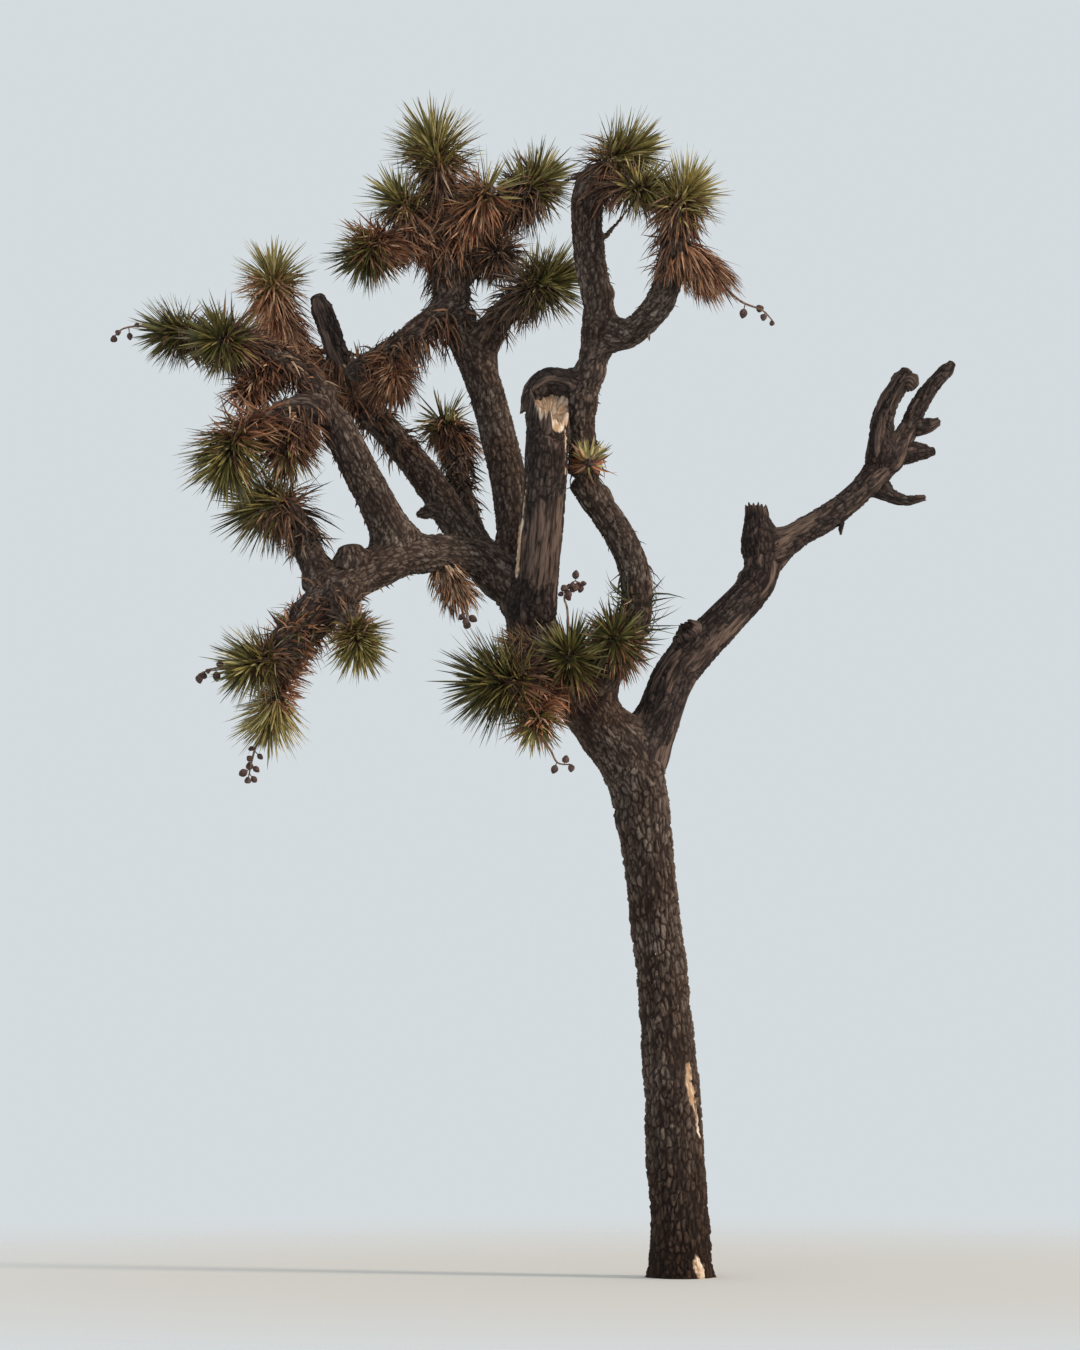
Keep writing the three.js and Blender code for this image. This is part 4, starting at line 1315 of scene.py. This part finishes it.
@dataclass
class Woodwork:
    """The trunk and every limb, each with its own bark.

    Args:
        trunk_bark: how the trunk's bark is worked out.
        live_bark: the same for living limbs.
        dead_bark: the same for dead limbs, where much of it has peeled.
        near_gap: how near another limb's surface comes to count as a neighbour, in metres.
        collar_at: how far from its root a limb's collar is highest, in metres.
        collar_fade: how slowly the collar fades, in metres.
        tucked: share of its radius that a limb has inside the one that carries it.
        untucked: the rest of it, which the limb gets back.
        tuck_length: the stretch over which it does, in metres.
        lines: the centreline of every limb, by its name.
    """

    trunk_bark: BarkSkin = field(default_factory=lambda: BarkSkin(5.6, 27, 62, 15))
    live_bark: BarkSkin = field(default_factory=lambda: BarkSkin(6.2, 19, 44, 9))
    dead_bark: BarkSkin = field(default_factory=lambda: BarkSkin(5.6, 20, 52, 9, 0.42))
    near_gap: float = 0.16
    collar_at: float = 0.1
    collar_fade: float = 0.09
    tucked: float = 0.78
    untucked: float = 0.22
    tuck_length: float = 0.1
    lines: dict[str, Line] = field(default_factory=dict)

    def __post_init__(self) -> None:
        """Lays out every centreline."""
        self.lines = {limb.name: Line.through(limb.way) for limb in LIMBS}

    @staticmethod
    def trunk_radius(share: Array, angle: Array) -> Array:
        """The trunk's radius.

        A slim middle, a stouter foot by a logistic step, an exponential flare with three root lobes,
        an exponential swelling at the fork and a drawn-in top.

        Args:
            share: shares of the length.
            angle: angles round the trunk.

        Returns:
            The radius at each, in metres.
        """
        form = TRUNK
        level = share * form.height
        foot = form.foot_extra / (1 + np.exp((level - form.foot_top) / form.foot_fade))
        flare = form.flare * np.exp(-level / form.flare_fade)
        swelling = form.swelling * np.exp((level - form.height) / form.swelling_fade)
        lobes = np.cos(form.root_lobes * (angle - form.lobe_turn))
        lobes = 1 + form.lobe_depth * np.exp(-level / form.lobe_fade) * lobes
        top = 1 - (1 - form.dome_share) * smooth(form.dome_start, 1.0, share)
        return (form.slim_radius + foot + flare + swelling) * lobes * top * MM

    def limb_radius(self, limb: Limb, line: Line, share: Array, angle: Array) -> Array:
        """A limb's radius: a straight taper with a collar near its root, which itself is tucked in.

        Args:
            limb: the limb.
            line: its centreline.
            share: shares of the length.
            angle: angles round the limb, which make no difference here.

        Returns:
            The radius at each, in metres.
        """
        walked = share * line.length
        collar = 1 + limb.collar * np.exp(-((walked - self.collar_at) / self.collar_fade) ** 2)
        start = self.tucked + self.untucked * smooth(0, self.tuck_length, walked)
        return limb.radius(share) * collar * start

    def near(self, name: str) -> list[tuple[Line, Limb]]:
        """The limbs whose surfaces come within a hand's length of a limb.

        Args:
            name: that limb's name.

        Returns:
            The centreline and the limb of each of the others.
        """
        line = self.lines[name]
        found = []
        for limb in LIMBS:
            if limb.name == name:
                continue
            far, _ = self.lines[limb.name].nearest(line.at(np.linspace(0, 1, 40)))
            if far.min() < max(limb.girth) * MM / 2 + self.near_gap:
                found.append((self.lines[limb.name], limb))
        return found

    def skin_trunk(self) -> Patch:
        """The trunk's skin, flat at the ground.

        Returns:
            The skin.
        """
        form = TRUNK
        girth = 2 * (form.slim_radius + form.foot_extra)
        stand_in = Limb("trunk", (girth, girth), form.way)
        line = Line.through(form.way)
        self.lines["trunk"] = line
        joined = [(self.lines[limb.name], limb) for limb in LIMBS
                  if limb.name in ("bough_left", "arm_lower")]
        patch = self.trunk_bark.patch(stand_in, Seed.TRUNK, self.trunk_radius, line, joined)
        patch.points[:, 2] = np.maximum(patch.points[:, 2], 0)
        patch.points[:self.trunk_bark.around(girth), 2] = 0
        patch.points[-2, 2] = 0
        return patch

    def skin_limb(self, limb: Limb, seed: int) -> Patch:
        """A limb's skin, with those of its spurs.

        Args:
            limb: the limb.
            seed: another seed gives other bark.

        Returns:
            The skin.
        """
        bark = self.dead_bark if limb.wood is Wood.DEAD else self.live_bark
        skins = []
        for index, part in enumerate((limb, *limb.spurs)):
            line = Line.through(part.way)
            radius = partial(self.limb_radius, part, line)
            neighbours = self.near(limb.name) if index == 0 else [(self.lines[limb.name], limb)]
            skins.append(bark.patch(part, seed + index, radius, line, neighbours))
        return Patch.join(skins)

    def build(self) -> None:
        """Makes the pieces that replace the trunk and the limbs."""
        finishes = {
            Wood.BARK: CorkBark("corky_bark").material(),
            # Its furrow and worn colours also carry painted shade and painted highlight.
            Wood.DEAD: CorkBark("dead_bark", furrow="#1e1917", flank="#362c28", plate="#4a3e38",
                                worn="#5e524b", old_wood="#6a574c", dark_wood="#2a211d").material(),
        }
        self.dress("trunk", self.skin_trunk(), Wood.BARK, finishes)
        for index, limb in enumerate(LIMBS):
            self.dress(limb.name, self.skin_limb(limb, Seed.LIMBS * (index + 1)), limb.wood, finishes)

    def dress(self, name: str, patch: Patch, wood: Wood, finishes: dict[Wood, bpy.types.Material]) -> None:
        """Marks the scars on a skin and makes its piece.

        Args:
            name: the name of the trunk or limb.
            patch: its skin.
            wood: what covers it.
            finishes: the material of each kind of wood.
        """
        for scar in SCARS:
            gap, _ = Line.through(scar.way).nearest(patch.points)
            ragged = noise(patch.points / 0.018, Seed.SCARS, 2)
            mark = 1 - smooth(0.6, 1.15, gap / (scar.width * MM) + 0.28 * ragged)
            patch.layers["bare"] = np.maximum(patch.layers["bare"], mark)
            patch.layers["fresh"] = np.maximum(patch.layers["fresh"], mark * scar.fresh)
        make_piece(f"{name}_bark", patch, finishes[wood], [name], rounded=True)

    def inside(self, places: Array, sunk: float) -> Array:
        """Which places lie inside any limb.

        Args:
            places: places in metres.
            sunk: how deep they have to lie, in metres.

        Returns:
            Yes or no for each place.
        """
        hidden = np.zeros(len(places), bool)
        for limb in LIMBS:
            far, share = self.lines[limb.name].nearest(places, 24)
            hidden |= far < limb.radius(share) - sunk
        return hidden


@dataclass
class Blades:
    """Many leaves as arrays: where each starts, bends and ends, and how it looks.

    Args:
        root: where each leaves its stem, in metres.
        bend: the point that it leaves towards.
        tip: its point.
        face: the direction that its upper side looks.
        width: its greatest width, in metres.
        tone: how light it is, from 0 to 1.
        warmth: how yellow or orange it is, from 0 to 1.
    """

    root: Array
    bend: Array
    tip: Array
    face: Array
    width: Array
    tone: Array
    warmth: Array

    # The shares of a leaf where it has a section, and how wide it is at each.
    SECTIONS: ClassVar[tuple[float, ...]] = (0.0, 0.24, 0.56, 0.84)
    WIDTHS: ClassVar[tuple[float, ...]] = (0.72, 1.0, 0.72, 0.34)

    @staticmethod
    def join(batches: Sequence["Blades"]) -> "Blades":
        """Several batches as one."""
        return Blades(*(np.concatenate([getattr(batch, part.name) for batch in batches])
                        for part in fields(Blades)))

    def kept(self, keep: Array) -> "Blades":
        """Only the leaves that are marked."""
        return Blades(*(getattr(self, part.name)[keep] for part in fields(Blades)))

    def middle(self, share: float) -> Array:
        """The points at a share of each leaf, on its quadratic curve."""
        return (1 - share) ** 2 * self.root + 2 * share * (1 - share) * self.bend + share**2 * self.tip

    def patch(self) -> Patch:
        """The leaves as closed three-sided blades.

        Each section is a flat triangle: two edges a width apart across the leaf and raised a
        little, and a keel under its middle. The last section closes to the tip.

        Returns:
            The leaves as one patch.
        """
        count = len(self.root)
        rings = []
        for share, wide in zip(self.SECTIONS, self.WIDTHS):
            centre = self.middle(share)
            ahead = unit(2 * (1 - share) * (self.bend - self.root) + 2 * share * (self.tip - self.bend))
            across = unit(np.cross(self.face, ahead))
            up = np.cross(ahead, across)
            half = (self.width * wide / 2)[:, None]
            rings += [centre + across * half + up * half * 0.25, centre - across * half + up * half * 0.25,
                      centre - up * half * 0.38]
        points = np.stack([*rings, self.tip], axis=1)
        per_leaf = points.shape[1]
        faces = []
        for section in range(len(self.SECTIONS) - 1):
            low = section * 3
            faces += [(low + a, low + b, low + 3 + b, low + 3 + a) for a, b in ((0, 1), (1, 2), (2, 0))]
        last = per_leaf - 1
        ends = [(last - 3 + a, last - 3 + b, last) for a, b in ((0, 1), (1, 2), (2, 0))] + [(2, 1, 0)]
        starts = (np.arange(count) * per_leaf)[:, None, None]
        quads = (starts + np.array(faces)).reshape(-1, 4)
        triangles = (starts + np.array(ends)).reshape(-1, 3)
        along = np.array([share for share in self.SECTIONS for _ in range(3)] + [1.0])
        layers = {"tone": np.repeat(self.tone, per_leaf), "warmth": np.repeat(self.warmth, per_leaf),
                  "along": np.tile(along, count)}
        return Patch(points.reshape(-1, 3), [quads, triangles], layers)


@dataclass
class Foliage:
    """Every rosette, skirt and shag of old leaves, and the leafy shoots under them.

    Args:
        woodwork: the limbs that carry it.
        live_share: live blades for each live leaf of the source.
        dead_share: the same for dead ones.
        most_leaves: how many leaves one piece may have.
        cap_angle: the angle to the axis that live leaves reach to, in degrees.
        live_widths: least and greatest width of a live leaf, in metres.
        dead_widths: the same for a dead leaf of a mass.
        shag_widths: the same for a leaf along a limb.
        clear_at: shares of a leaf where it has to be clear of every limb.
        clear_depth: how deep it may still dip into one there, in metres.
        shoot_bark: how the bark of the leafy shoots is worked out.
        frames: stem, centre, axis and the two directions across it of every mass, by its name.
    """

    woodwork: Woodwork
    live_share: int = 25
    dead_share: int = 62
    most_leaves: int = 8800
    cap_angle: float = 125
    live_widths: tuple[float, float] = (0.0105, 0.0145)
    dead_widths: tuple[float, float] = (0.009, 0.0145)
    shag_widths: tuple[float, float] = (0.009, 0.014)
    clear_at: tuple[float, ...] = (0.45, 0.75, 1.0)
    clear_depth: float = 0.006
    shoot_bark: BarkSkin = field(default_factory=lambda: BarkSkin(11, 17, 30, 7))
    frames: dict[str, tuple[Line, Array, Array, Array, Array]] = field(default_factory=dict)

    def __post_init__(self) -> None:
        """Works out each mass's stem and the directions across it."""
        self.frames = {mass.name: self.frame(mass) for mass in MASSES}

    def frame(self, mass: Mass) -> tuple[Line, Array, Array, Array, Array]:
        """A mass's stem, centre, axis and the two directions across that axis.

        A stem at a limb's tip leaves along the limb, and one part way along leaves straight.

        Args:
            mass: the mass.

        Returns:
            The five, in that order.
        """
        carrier = self.woodwork.lines[mass.limb]
        root = carrier.at(0.97 if mass.at is None else mass.at)[0]
        centre = np.array(mass.centre, float) * MM
        straight = centre - root
        lead = carrier.heading(1.0)[0] if mass.at is None else unit(straight)
        stem = Line.bowed(root, root + lead * np.linalg.norm(straight) / 2, centre)
        axis = stem.heading(1.0)[0]
        across = np.cross([0.0, 0.0, 1.0], axis)
        if np.linalg.norm(across) < 0.2:
            across = np.cross([1.0, 0.0, 0.0], axis)
        across = unit(across)
        return stem, centre, axis, across, np.cross(axis, across)

    @staticmethod
    def spokes(frame: tuple[Line, Array, Array, Array, Array], turn: Array) -> Array:
        """Directions across a stem at angles round it."""
        return np.cos(turn)[:, None] * frame[3] + np.sin(turn)[:, None] * frame[4]

    def live_leaves(self, mass: Mass, seed: int) -> Blades:
        """Live leaves over a cap round the axis, the older ones lower on the stem and sagging.

        The cosine of the angle to the axis falls evenly from leaf to leaf, which spreads them evenly
        over the cap, and each is a golden angle on from the one before.

        Args:
            mass: the mass that they make up.
            seed: another seed gives other leaves.

        Returns:
            The leaves.
        """
        frame = self.frames[mass.name]
        _, centre, axis, *_ = frame
        random = np.random.default_rng(seed)
        count = mass.live * self.live_share
        index = np.arange(count)
        share = (index + 0.5) / count
        reach = mass.reach * MM
        cosine = 1 - (1 - math.cos(math.radians(self.cap_angle))) * share
        spoke = self.spokes(frame, index * GOLDEN_ANGLE + random.uniform(0, 0.5, count))
        heading = axis * cosine[:, None] + spoke * np.sqrt(1 - cosine**2)[:, None] + np.array(mass.lean)
        heading[:, 2] -= mass.sag * share
        heading = unit(heading + random.normal(0, 0.19, (count, 3)))
        root = centre + heading * (reach * random.uniform(0.03, 0.28, count))[:, None]
        root = root - axis * (reach * 0.5 * share)[:, None]
        length = (0.62 + 0.48 * random.uniform(0, 1, count) ** 1.4) * np.where(share < 0.06, 0.86, 1.0)
        tip = centre + heading * (reach * length)[:, None]
        bend = (root + tip) / 2 + (axis + np.array([0, 0, 0.5])) * (reach * 0.06 * share)[:, None]
        width = random.uniform(*self.live_widths, count)
        ageing = smooth(0.55, 1.0, share + random.normal(0, 0.1, count))
        tone = 0.34 + 0.3 * mass.tint + 0.14 * mass.pale - 0.06 * ageing
        tone = np.clip(tone + random.normal(0, 0.21, count), 0, 1)
        warmth = np.clip(0.25 + 0.55 * mass.tint + 0.4 * ageing + random.normal(0, 0.2, count), 0, 1)
        face = unit(axis + 0.25 * random.normal(0, 1, (count, 3)))
        return Blades(root, bend, tip, face, width, tone, warmth)

    def dead_leaves(self, mass: Mass, seed: int) -> Blades:
        """Dead leaves that leave the stem under the live ones and lie back along it or hang.

        Args:
            mass: the mass that they make up.
            seed: another seed gives other leaves.

        Returns:
            The leaves.
        """
        frame = self.frames[mass.name]
        stem = frame[0]
        random = np.random.default_rng(seed)
        count = mass.dead * self.dead_share
        index = np.arange(count)
        share = (index + 0.5) / count
        reach = mass.reach * MM
        along = np.clip(1 - share * 0.85 - random.uniform(0, 0.06, count), 0.02, 1)
        spoke = self.spokes(frame, index * GOLDEN_ANGLE + random.uniform(0, 0.6, count))
        outward = random.uniform(0.5, 1.2, count)[:, None]
        backward = random.uniform(0.4, 1.3, count)[:, None]
        heading = spoke * outward - stem.heading(along) * mass.back * backward
        heading[:, 2] -= 0.45
        heading += np.array(mass.lean, float) + random.normal(0, 0.2, (count, 3))
        heading = unit(heading + frame[2] * (0.9 * smooth(0.2, 0.0, share))[:, None])
        root = stem.at(along) + spoke * 0.02
        wider = 1 + 0.5 * share * max(0.0, mass.base / 100 - 0.6)
        length = mass.lank * reach * random.uniform(0.5, 0.96, count) * np.minimum(wider, 1.2)
        tip = root + heading * length[:, None]
        bend = root + (spoke * 0.55 - stem.heading(along) * 0.05) * length[:, None]
        bend = (bend + (root + tip) / 2) / 2
        width = random.uniform(*self.dead_widths, count)
        tone = np.clip(0.24 + 0.26 * mass.rust + 0.2 * mass.pale + random.normal(0, 0.2, count), 0, 1)
        warmth = np.clip(1.25 * mass.rust - 0.25 + random.normal(0, 0.22, count), 0, 1)
        face = unit(spoke + 0.35 * random.normal(0, 1, (count, 3)))
        return Blades(root, bend, tip, face, width, tone, warmth)

    def shag_leaves(self, shag: Shag, seed: int) -> Blades:
        """Old leaves that lie back along a limb, standing off it a little and drooping.

        Args:
            shag: where they lie, and how they look.
            seed: another seed gives other leaves.

        Returns:
            The leaves.
        """
        limb = next(limb for limb in LIMBS if limb.name == shag.limb)
        line = self.woodwork.lines[shag.limb]
        random = np.random.default_rng(seed)
        count = round(shag.dense * line.length * (shag.end - shag.start))
        along = shag.start + (shag.end - shag.start) * random.uniform(0, 1, count) ** 0.8
        ahead, side, over = line.frame(along)
        turn = random.uniform(0, 2 * math.pi, count)
        spoke = side * np.cos(turn)[:, None] + over * np.sin(turn)[:, None]
        keep = random.uniform(0, 1, count) > shag.under * smooth(-0.2, 0.7, spoke[:, 2])
        root = line.at(along) + spoke * (limb.radius(along) * 0.9)[:, None]
        length = shag.length * MM * random.uniform(0.5, 1.1, count)
        forward = 0.8 if shag.leaf is Leaf.LIVE else 0.8 * shag.under - 1.0
        heading = spoke * random.uniform(0.3, 1.0, count)[:, None]
        heading += forward * ahead * random.uniform(0.1, 1.0, count)[:, None]
        heading[:, 2] -= 0.3 + 0.6 * shag.under if shag.leaf is Leaf.DEAD else 0.0
        tip = root + unit(heading + random.normal(0, 0.22, (count, 3))) * length[:, None]
        bend = root + unit(spoke + 0.4 * forward * ahead) * (length * 0.4)[:, None]
        width = random.uniform(*self.shag_widths, count)
        tone = np.clip(0.2 + 0.28 * shag.rust + random.normal(0, 0.18, count), 0, 1)
        warmth = np.clip(1.25 * shag.rust - 0.25 + random.normal(0, 0.22, count), 0, 1)
        face = unit(spoke + 0.35 * random.normal(0, 1, (count, 3)))
        return Blades(root, bend, tip, face, width, tone, warmth).kept(keep)

    def clear(self, blades: Blades) -> Blades:
        """Leaves out those that run through a limb, beyond where they leave their own.

        Args:
            blades: the leaves.

        Returns:
            The ones that are clear of every limb.
        """
        hidden = np.zeros(len(blades.root), bool)
        for share in self.clear_at:
            hidden |= self.woodwork.inside(blades.middle(share), self.clear_depth)
        return blades.kept(~hidden)

    def shoots(self) -> Patch:
        """The stems of the masses, with a skin of coarse bark.

        Returns:
            The stems as one patch.
        """
        skins = []
        for index, mass in enumerate(MASSES):
            stem = self.frames[mass.name][0]
            girth = (2 * min(max(mass.base * 0.62, 42), 62), 2 * 0.15 * mass.reach)
            limb = Limb(mass.name, girth, ())
            radius = partial(self.woodwork.limb_radius, limb, stem)
            skins.append(self.shoot_bark.patch(limb, Seed.SHOOTS + index, radius, stem, []))
        return Patch.join(skins)

    def build(self) -> None:
        """Makes the pieces that replace the foliage masses."""
        live_masses = [mass for mass in MASSES if mass.live]
        live = [(mass.name, self.clear(self.live_leaves(mass, Seed.LIVE + index)))
                for index, mass in enumerate(live_masses)]
        dead = [(mass.name, self.clear(self.dead_leaves(mass, Seed.DEAD + index)))
                for index, mass in enumerate(MASSES) if mass.dead]
        shags = {kind: [(None, self.clear(self.shag_leaves(shag, Seed.SHAGS + index)))
                        for index, shag in enumerate(SHAGS + STUBBLE) if shag.leaf is kind]
                 for kind in Leaf}
        self.deal(Leaf.LIVE, live + shags[Leaf.LIVE], LIVE_LEAF.material())
        self.deal(Leaf.DEAD, dead + shags[Leaf.DEAD], DEAD_LEAF.material())
        make_piece("leafy_shoots", self.shoots(), CorkBark("shoot_bark").material(),
                   [mass.name for mass in MASSES], rounded=True)

    def deal(self, leaf: Leaf, groups: list[tuple[str | None, Blades]],
             finish: bpy.types.Material) -> None:
        """Joins groups of leaves into pieces of at most a set number of leaves.

        Args:
            leaf: whether they are live or dead.
            groups: for each group its mass's name, or none for a shag, and its leaves.
            finish: their material.
        """
        batch: list[tuple[str | None, Blades]] = []
        number = 1
        for group in [*groups, None]:
            size = sum(len(blades.root) for _, blades in batch)
            if batch and (group is None or size + len(group[1].root) > self.most_leaves):
                names = [name for name, _ in batch if name]
                joined = Blades.join([blades for _, blades in batch]).patch()
                make_piece(f"{leaf.value}_{number}", joined, finish, names, rounded=False)
                batch, number = [], number + 1
            if group is not None:
                batch.append(group)


@dataclass
class FlowerStalks:
    """Dry flower stalks and the woody pods that hang from them.

    Args:
        foliage: the masses that they grow from; not used.
        radius: a stalk's radius at its root, in mm.
        pod_radius: a pod's radius, in mm.
        pod_length: its length, in mm.
        stem_radii: radii of a pod's own stem at its root and its end, in mm.
    """

    foliage: Foliage
    radius: float = 8.5
    pod_radius: float = 17
    pod_length: float = 46
    stem_radii: tuple[float, float] = (3.2, 2.6)

    @staticmethod
    def tube(line: Line, start: float, end: float, rows: int, around: int = 7) -> Patch:
        """A plain tapering tube along a line, closed at both ends.

        Args:
            line: its centreline.
            start: its radius at the start, in metres.
            end: its radius at the end.
            rows: how many rings it has.
            around: how many points each ring has.

        Returns:
            The tube.
        """
        share = np.linspace(0, 1, rows)
        angle = np.linspace(0, 2 * math.pi, around, endpoint=False)
        radius = start + (end - start) * share
        points = line.at(share)[:, None] + line.spokes(share, angle) * radius[:, None, None]
        return BarkSkin.close(points.reshape(-1, 3), rows, around, {})

    def pod(self, root: Array, heading: Array, size: float) -> Patch:
        """A three-lobed pod: radius sin(pi v^0.85)^0.7 (1 + 0.13 cos 3a), drawn out along its heading.

        Args:
            root: where it hangs, in metres.
            heading: the way that it points.
            size: how large it is, as a share of the usual.

        Returns:
            The pod.
        """
        share = np.linspace(0.03, 0.99, 9)
        angle = np.linspace(0, 2 * math.pi, 12, endpoint=False)
        side = unit(np.cross(heading, [0.3, 0.8, 0.5]))
        over = np.cross(heading, side)
        radius = self.pod_radius * MM * size * np.sin(math.pi * share**0.85) ** 0.7
        lobes = 1 + 0.13 * np.cos(3 * angle)
        spoke = side * np.cos(angle)[:, None] + over * np.sin(angle)[:, None]
        centre = root + heading * (self.pod_length * MM * size * share)[:, None]
        points = centre[:, None] + spoke[None] * (radius[:, None] * lobes[None])[:, :, None]
        return BarkSkin.close(points.reshape(-1, 3), len(share), len(angle), {})

    def build(self) -> None:
        """Makes the stalks and pods of every mass that has them."""
        stems, pods, names = [], [], []
        for index, mass in enumerate(mass for mass in MASSES if mass.stalk):
            random = np.random.default_rng(Seed.STALKS + index)
            line = Line.through((mass.centre, *mass.stalk))
            stems.append(self.tube(line, self.radius * MM, 0.4 * self.radius * MM, 26))
            names.append(mass.name)
            for number in range(mass.pods):
                at = 1 - mass.bunch * (1 - (number + 1) / mass.pods)
                root = line.at(at)[0]
                turn = number * GOLDEN_ANGLE + random.uniform(0, 0.6)
                _, side, over = line.frame(np.array([at]))
                heading = unit(side[0] * math.cos(turn) + over[0] * math.sin(turn) - np.array([0, 0, 0.7]))
                reach = random.uniform(14, 30) * MM * min(1.0, 1.6 * mass.bunch) if at < 1 else 2 * MM
                end = root + heading * reach
                thick, thin = (radius * MM for radius in self.stem_radii)
                stems.append(self.tube(Line(np.stack([root, end])), thick, thin, 3, 5))
                pods.append(self.pod(end, heading, random.uniform(0.7, 1.15)))
        make_piece("flower_stalks", Patch.join(stems), STALK_WOOD.material(), names, True)
        make_piece("seed_pods", Patch.join(pods), POD_SHELL.material(), names, True)


@dataclass(frozen=True)
class Lamp:
    """A light from far off.

    Args:
        name: its name.
        toward: the direction that it stands in.
        strength: how bright it is.
        colour: its colour.
        spread: how wide it looks, in degrees. A wide one gives soft shadows.
    """

    name: str
    toward: Place
    strength: float
    colour: str
    spread: float


@dataclass(frozen=True)
class Studio:
    """A plain pale floor, soft light and the camera.

    Args:
        eye: the camera's place in metres: 30 m in front at eye height, where the photograph's was.
        fill: share of the frame's height that the tree fills.
        floor_radius: where the floor has faded into the pale surroundings, in metres.
        surroundings: their colour.
        lamps: a low warm key from the right and a little behind, and a cool fill from the front left.
    """

    eye: Place = (0.05, -30.0, 1.485)
    fill: float = 0.89
    floor_radius: float = 9.0
    surroundings: str = "#dfe6ea"
    lamps: tuple[Lamp, ...] = (
        Lamp("key", (0.88, -0.3, 0.36), 2.7, "#ffeedd", 10.0),
        Lamp("fill", (-0.35, -0.85, 0.4), 0.5, "#e8eefc", 60.0),
    )

    def camera(self) -> None:
        """Aims a long lens at the middle of the tree."""
        low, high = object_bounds()
        aim = (low + high) / 2
        data = bpy.data.cameras.new("camera")
        away = (aim - Vector(self.eye)).length
        data.lens = data.sensor_width / 2 / ((high.z - low.z) / 2 / self.fill / away)
        data.clip_end = 200
        camera = bpy.data.objects.new("camera", data)
        camera.location = self.eye
        camera.rotation_mode = "QUATERNION"
        camera.rotation_quaternion = (aim - Vector(self.eye)).to_track_quat("-Z", "Y")
        bpy.context.scene.collection.objects.link(camera)
        bpy.context.scene.camera = camera

    def floor(self) -> None:
        """A pale disc that fades out round the tree."""
        angle = np.linspace(0, 2 * math.pi, 64, endpoint=False)
        rim = np.column_stack([np.cos(angle), np.sin(angle), np.zeros(64)]) * self.floor_radius
        mesh = bpy.data.meshes.new("floor")
        mesh.from_pydata(rim.tolist(), [], [list(range(64))])
        material, tree = empty_material("pale_floor")
        where = node(tree, "ShaderNodeTexCoord").outputs["Object"]
        away = node(tree, "ShaderNodeVectorMath", {"operation": "LENGTH"}, {0: where})
        fade = node(tree, "ShaderNodeMapRange", {"interpolation_type": "SMOOTHSTEP"}, {
            "Value": away.outputs["Value"], "From Min": 1.5, "From Max": self.floor_radius * 0.97,
            "To Min": 0.0, "To Max": 1.0})
        matt = node(tree, "ShaderNodeBsdfPrincipled", {}, {
            "Base Color": linear("#cfcbc4"), "Roughness": 0.95})
        clear = node(tree, "ShaderNodeBsdfTransparent")
        mixed = node(tree, "ShaderNodeMixShader", {}, {
            0: fade.outputs["Result"], 1: matt.outputs["BSDF"], 2: clear.outputs["BSDF"]})
        node(tree, "ShaderNodeOutputMaterial", {}, {"Surface": mixed.outputs["Shader"]})
        mesh.materials.append(material)
        floor = bpy.data.objects.new("floor", mesh)
        bpy.context.scene.collection.objects.link(floor)
        floor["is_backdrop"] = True

    def light(self) -> None:
        """Puts up the lamps and the pale surroundings."""
        for lamp in self.lamps:
            data = bpy.data.lights.new(lamp.name, "SUN")
            data.energy = lamp.strength
            data.color = linear(lamp.colour)[:3]
            data.angle = math.radians(lamp.spread)
            light = bpy.data.objects.new(lamp.name, data)
            light.rotation_mode = "QUATERNION"
            light.rotation_quaternion = Vector(lamp.toward).to_track_quat("Z", "Y")
            bpy.context.scene.collection.objects.link(light)
        world = bpy.data.worlds.new("surroundings")
        world.use_nodes = True
        world.node_tree.nodes["Background"].inputs["Color"].default_value = linear(self.surroundings)
        world.node_tree.nodes["Background"].inputs["Strength"].default_value = 0.9
        bpy.context.scene.world = world
        bpy.context.scene.view_settings.view_transform = "Standard"


def clear_scene() -> None:
    """Removes what a new file starts with."""
    for item in list(bpy.data.objects):
        bpy.data.objects.remove(item, do_unlink=True)


def main() -> None:
    """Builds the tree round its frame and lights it."""
    logging.basicConfig(level=logging.INFO, format="%(message)s")
    clear_scene()
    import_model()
    studio = Studio()
    studio.camera()
    woodwork = Woodwork()
    woodwork.build()
    foliage = Foliage(woodwork)
    foliage.build()
    FlowerStalks(foliage).build()
    studio.floor()
    studio.light()


if __name__ == "__main__":
    main()
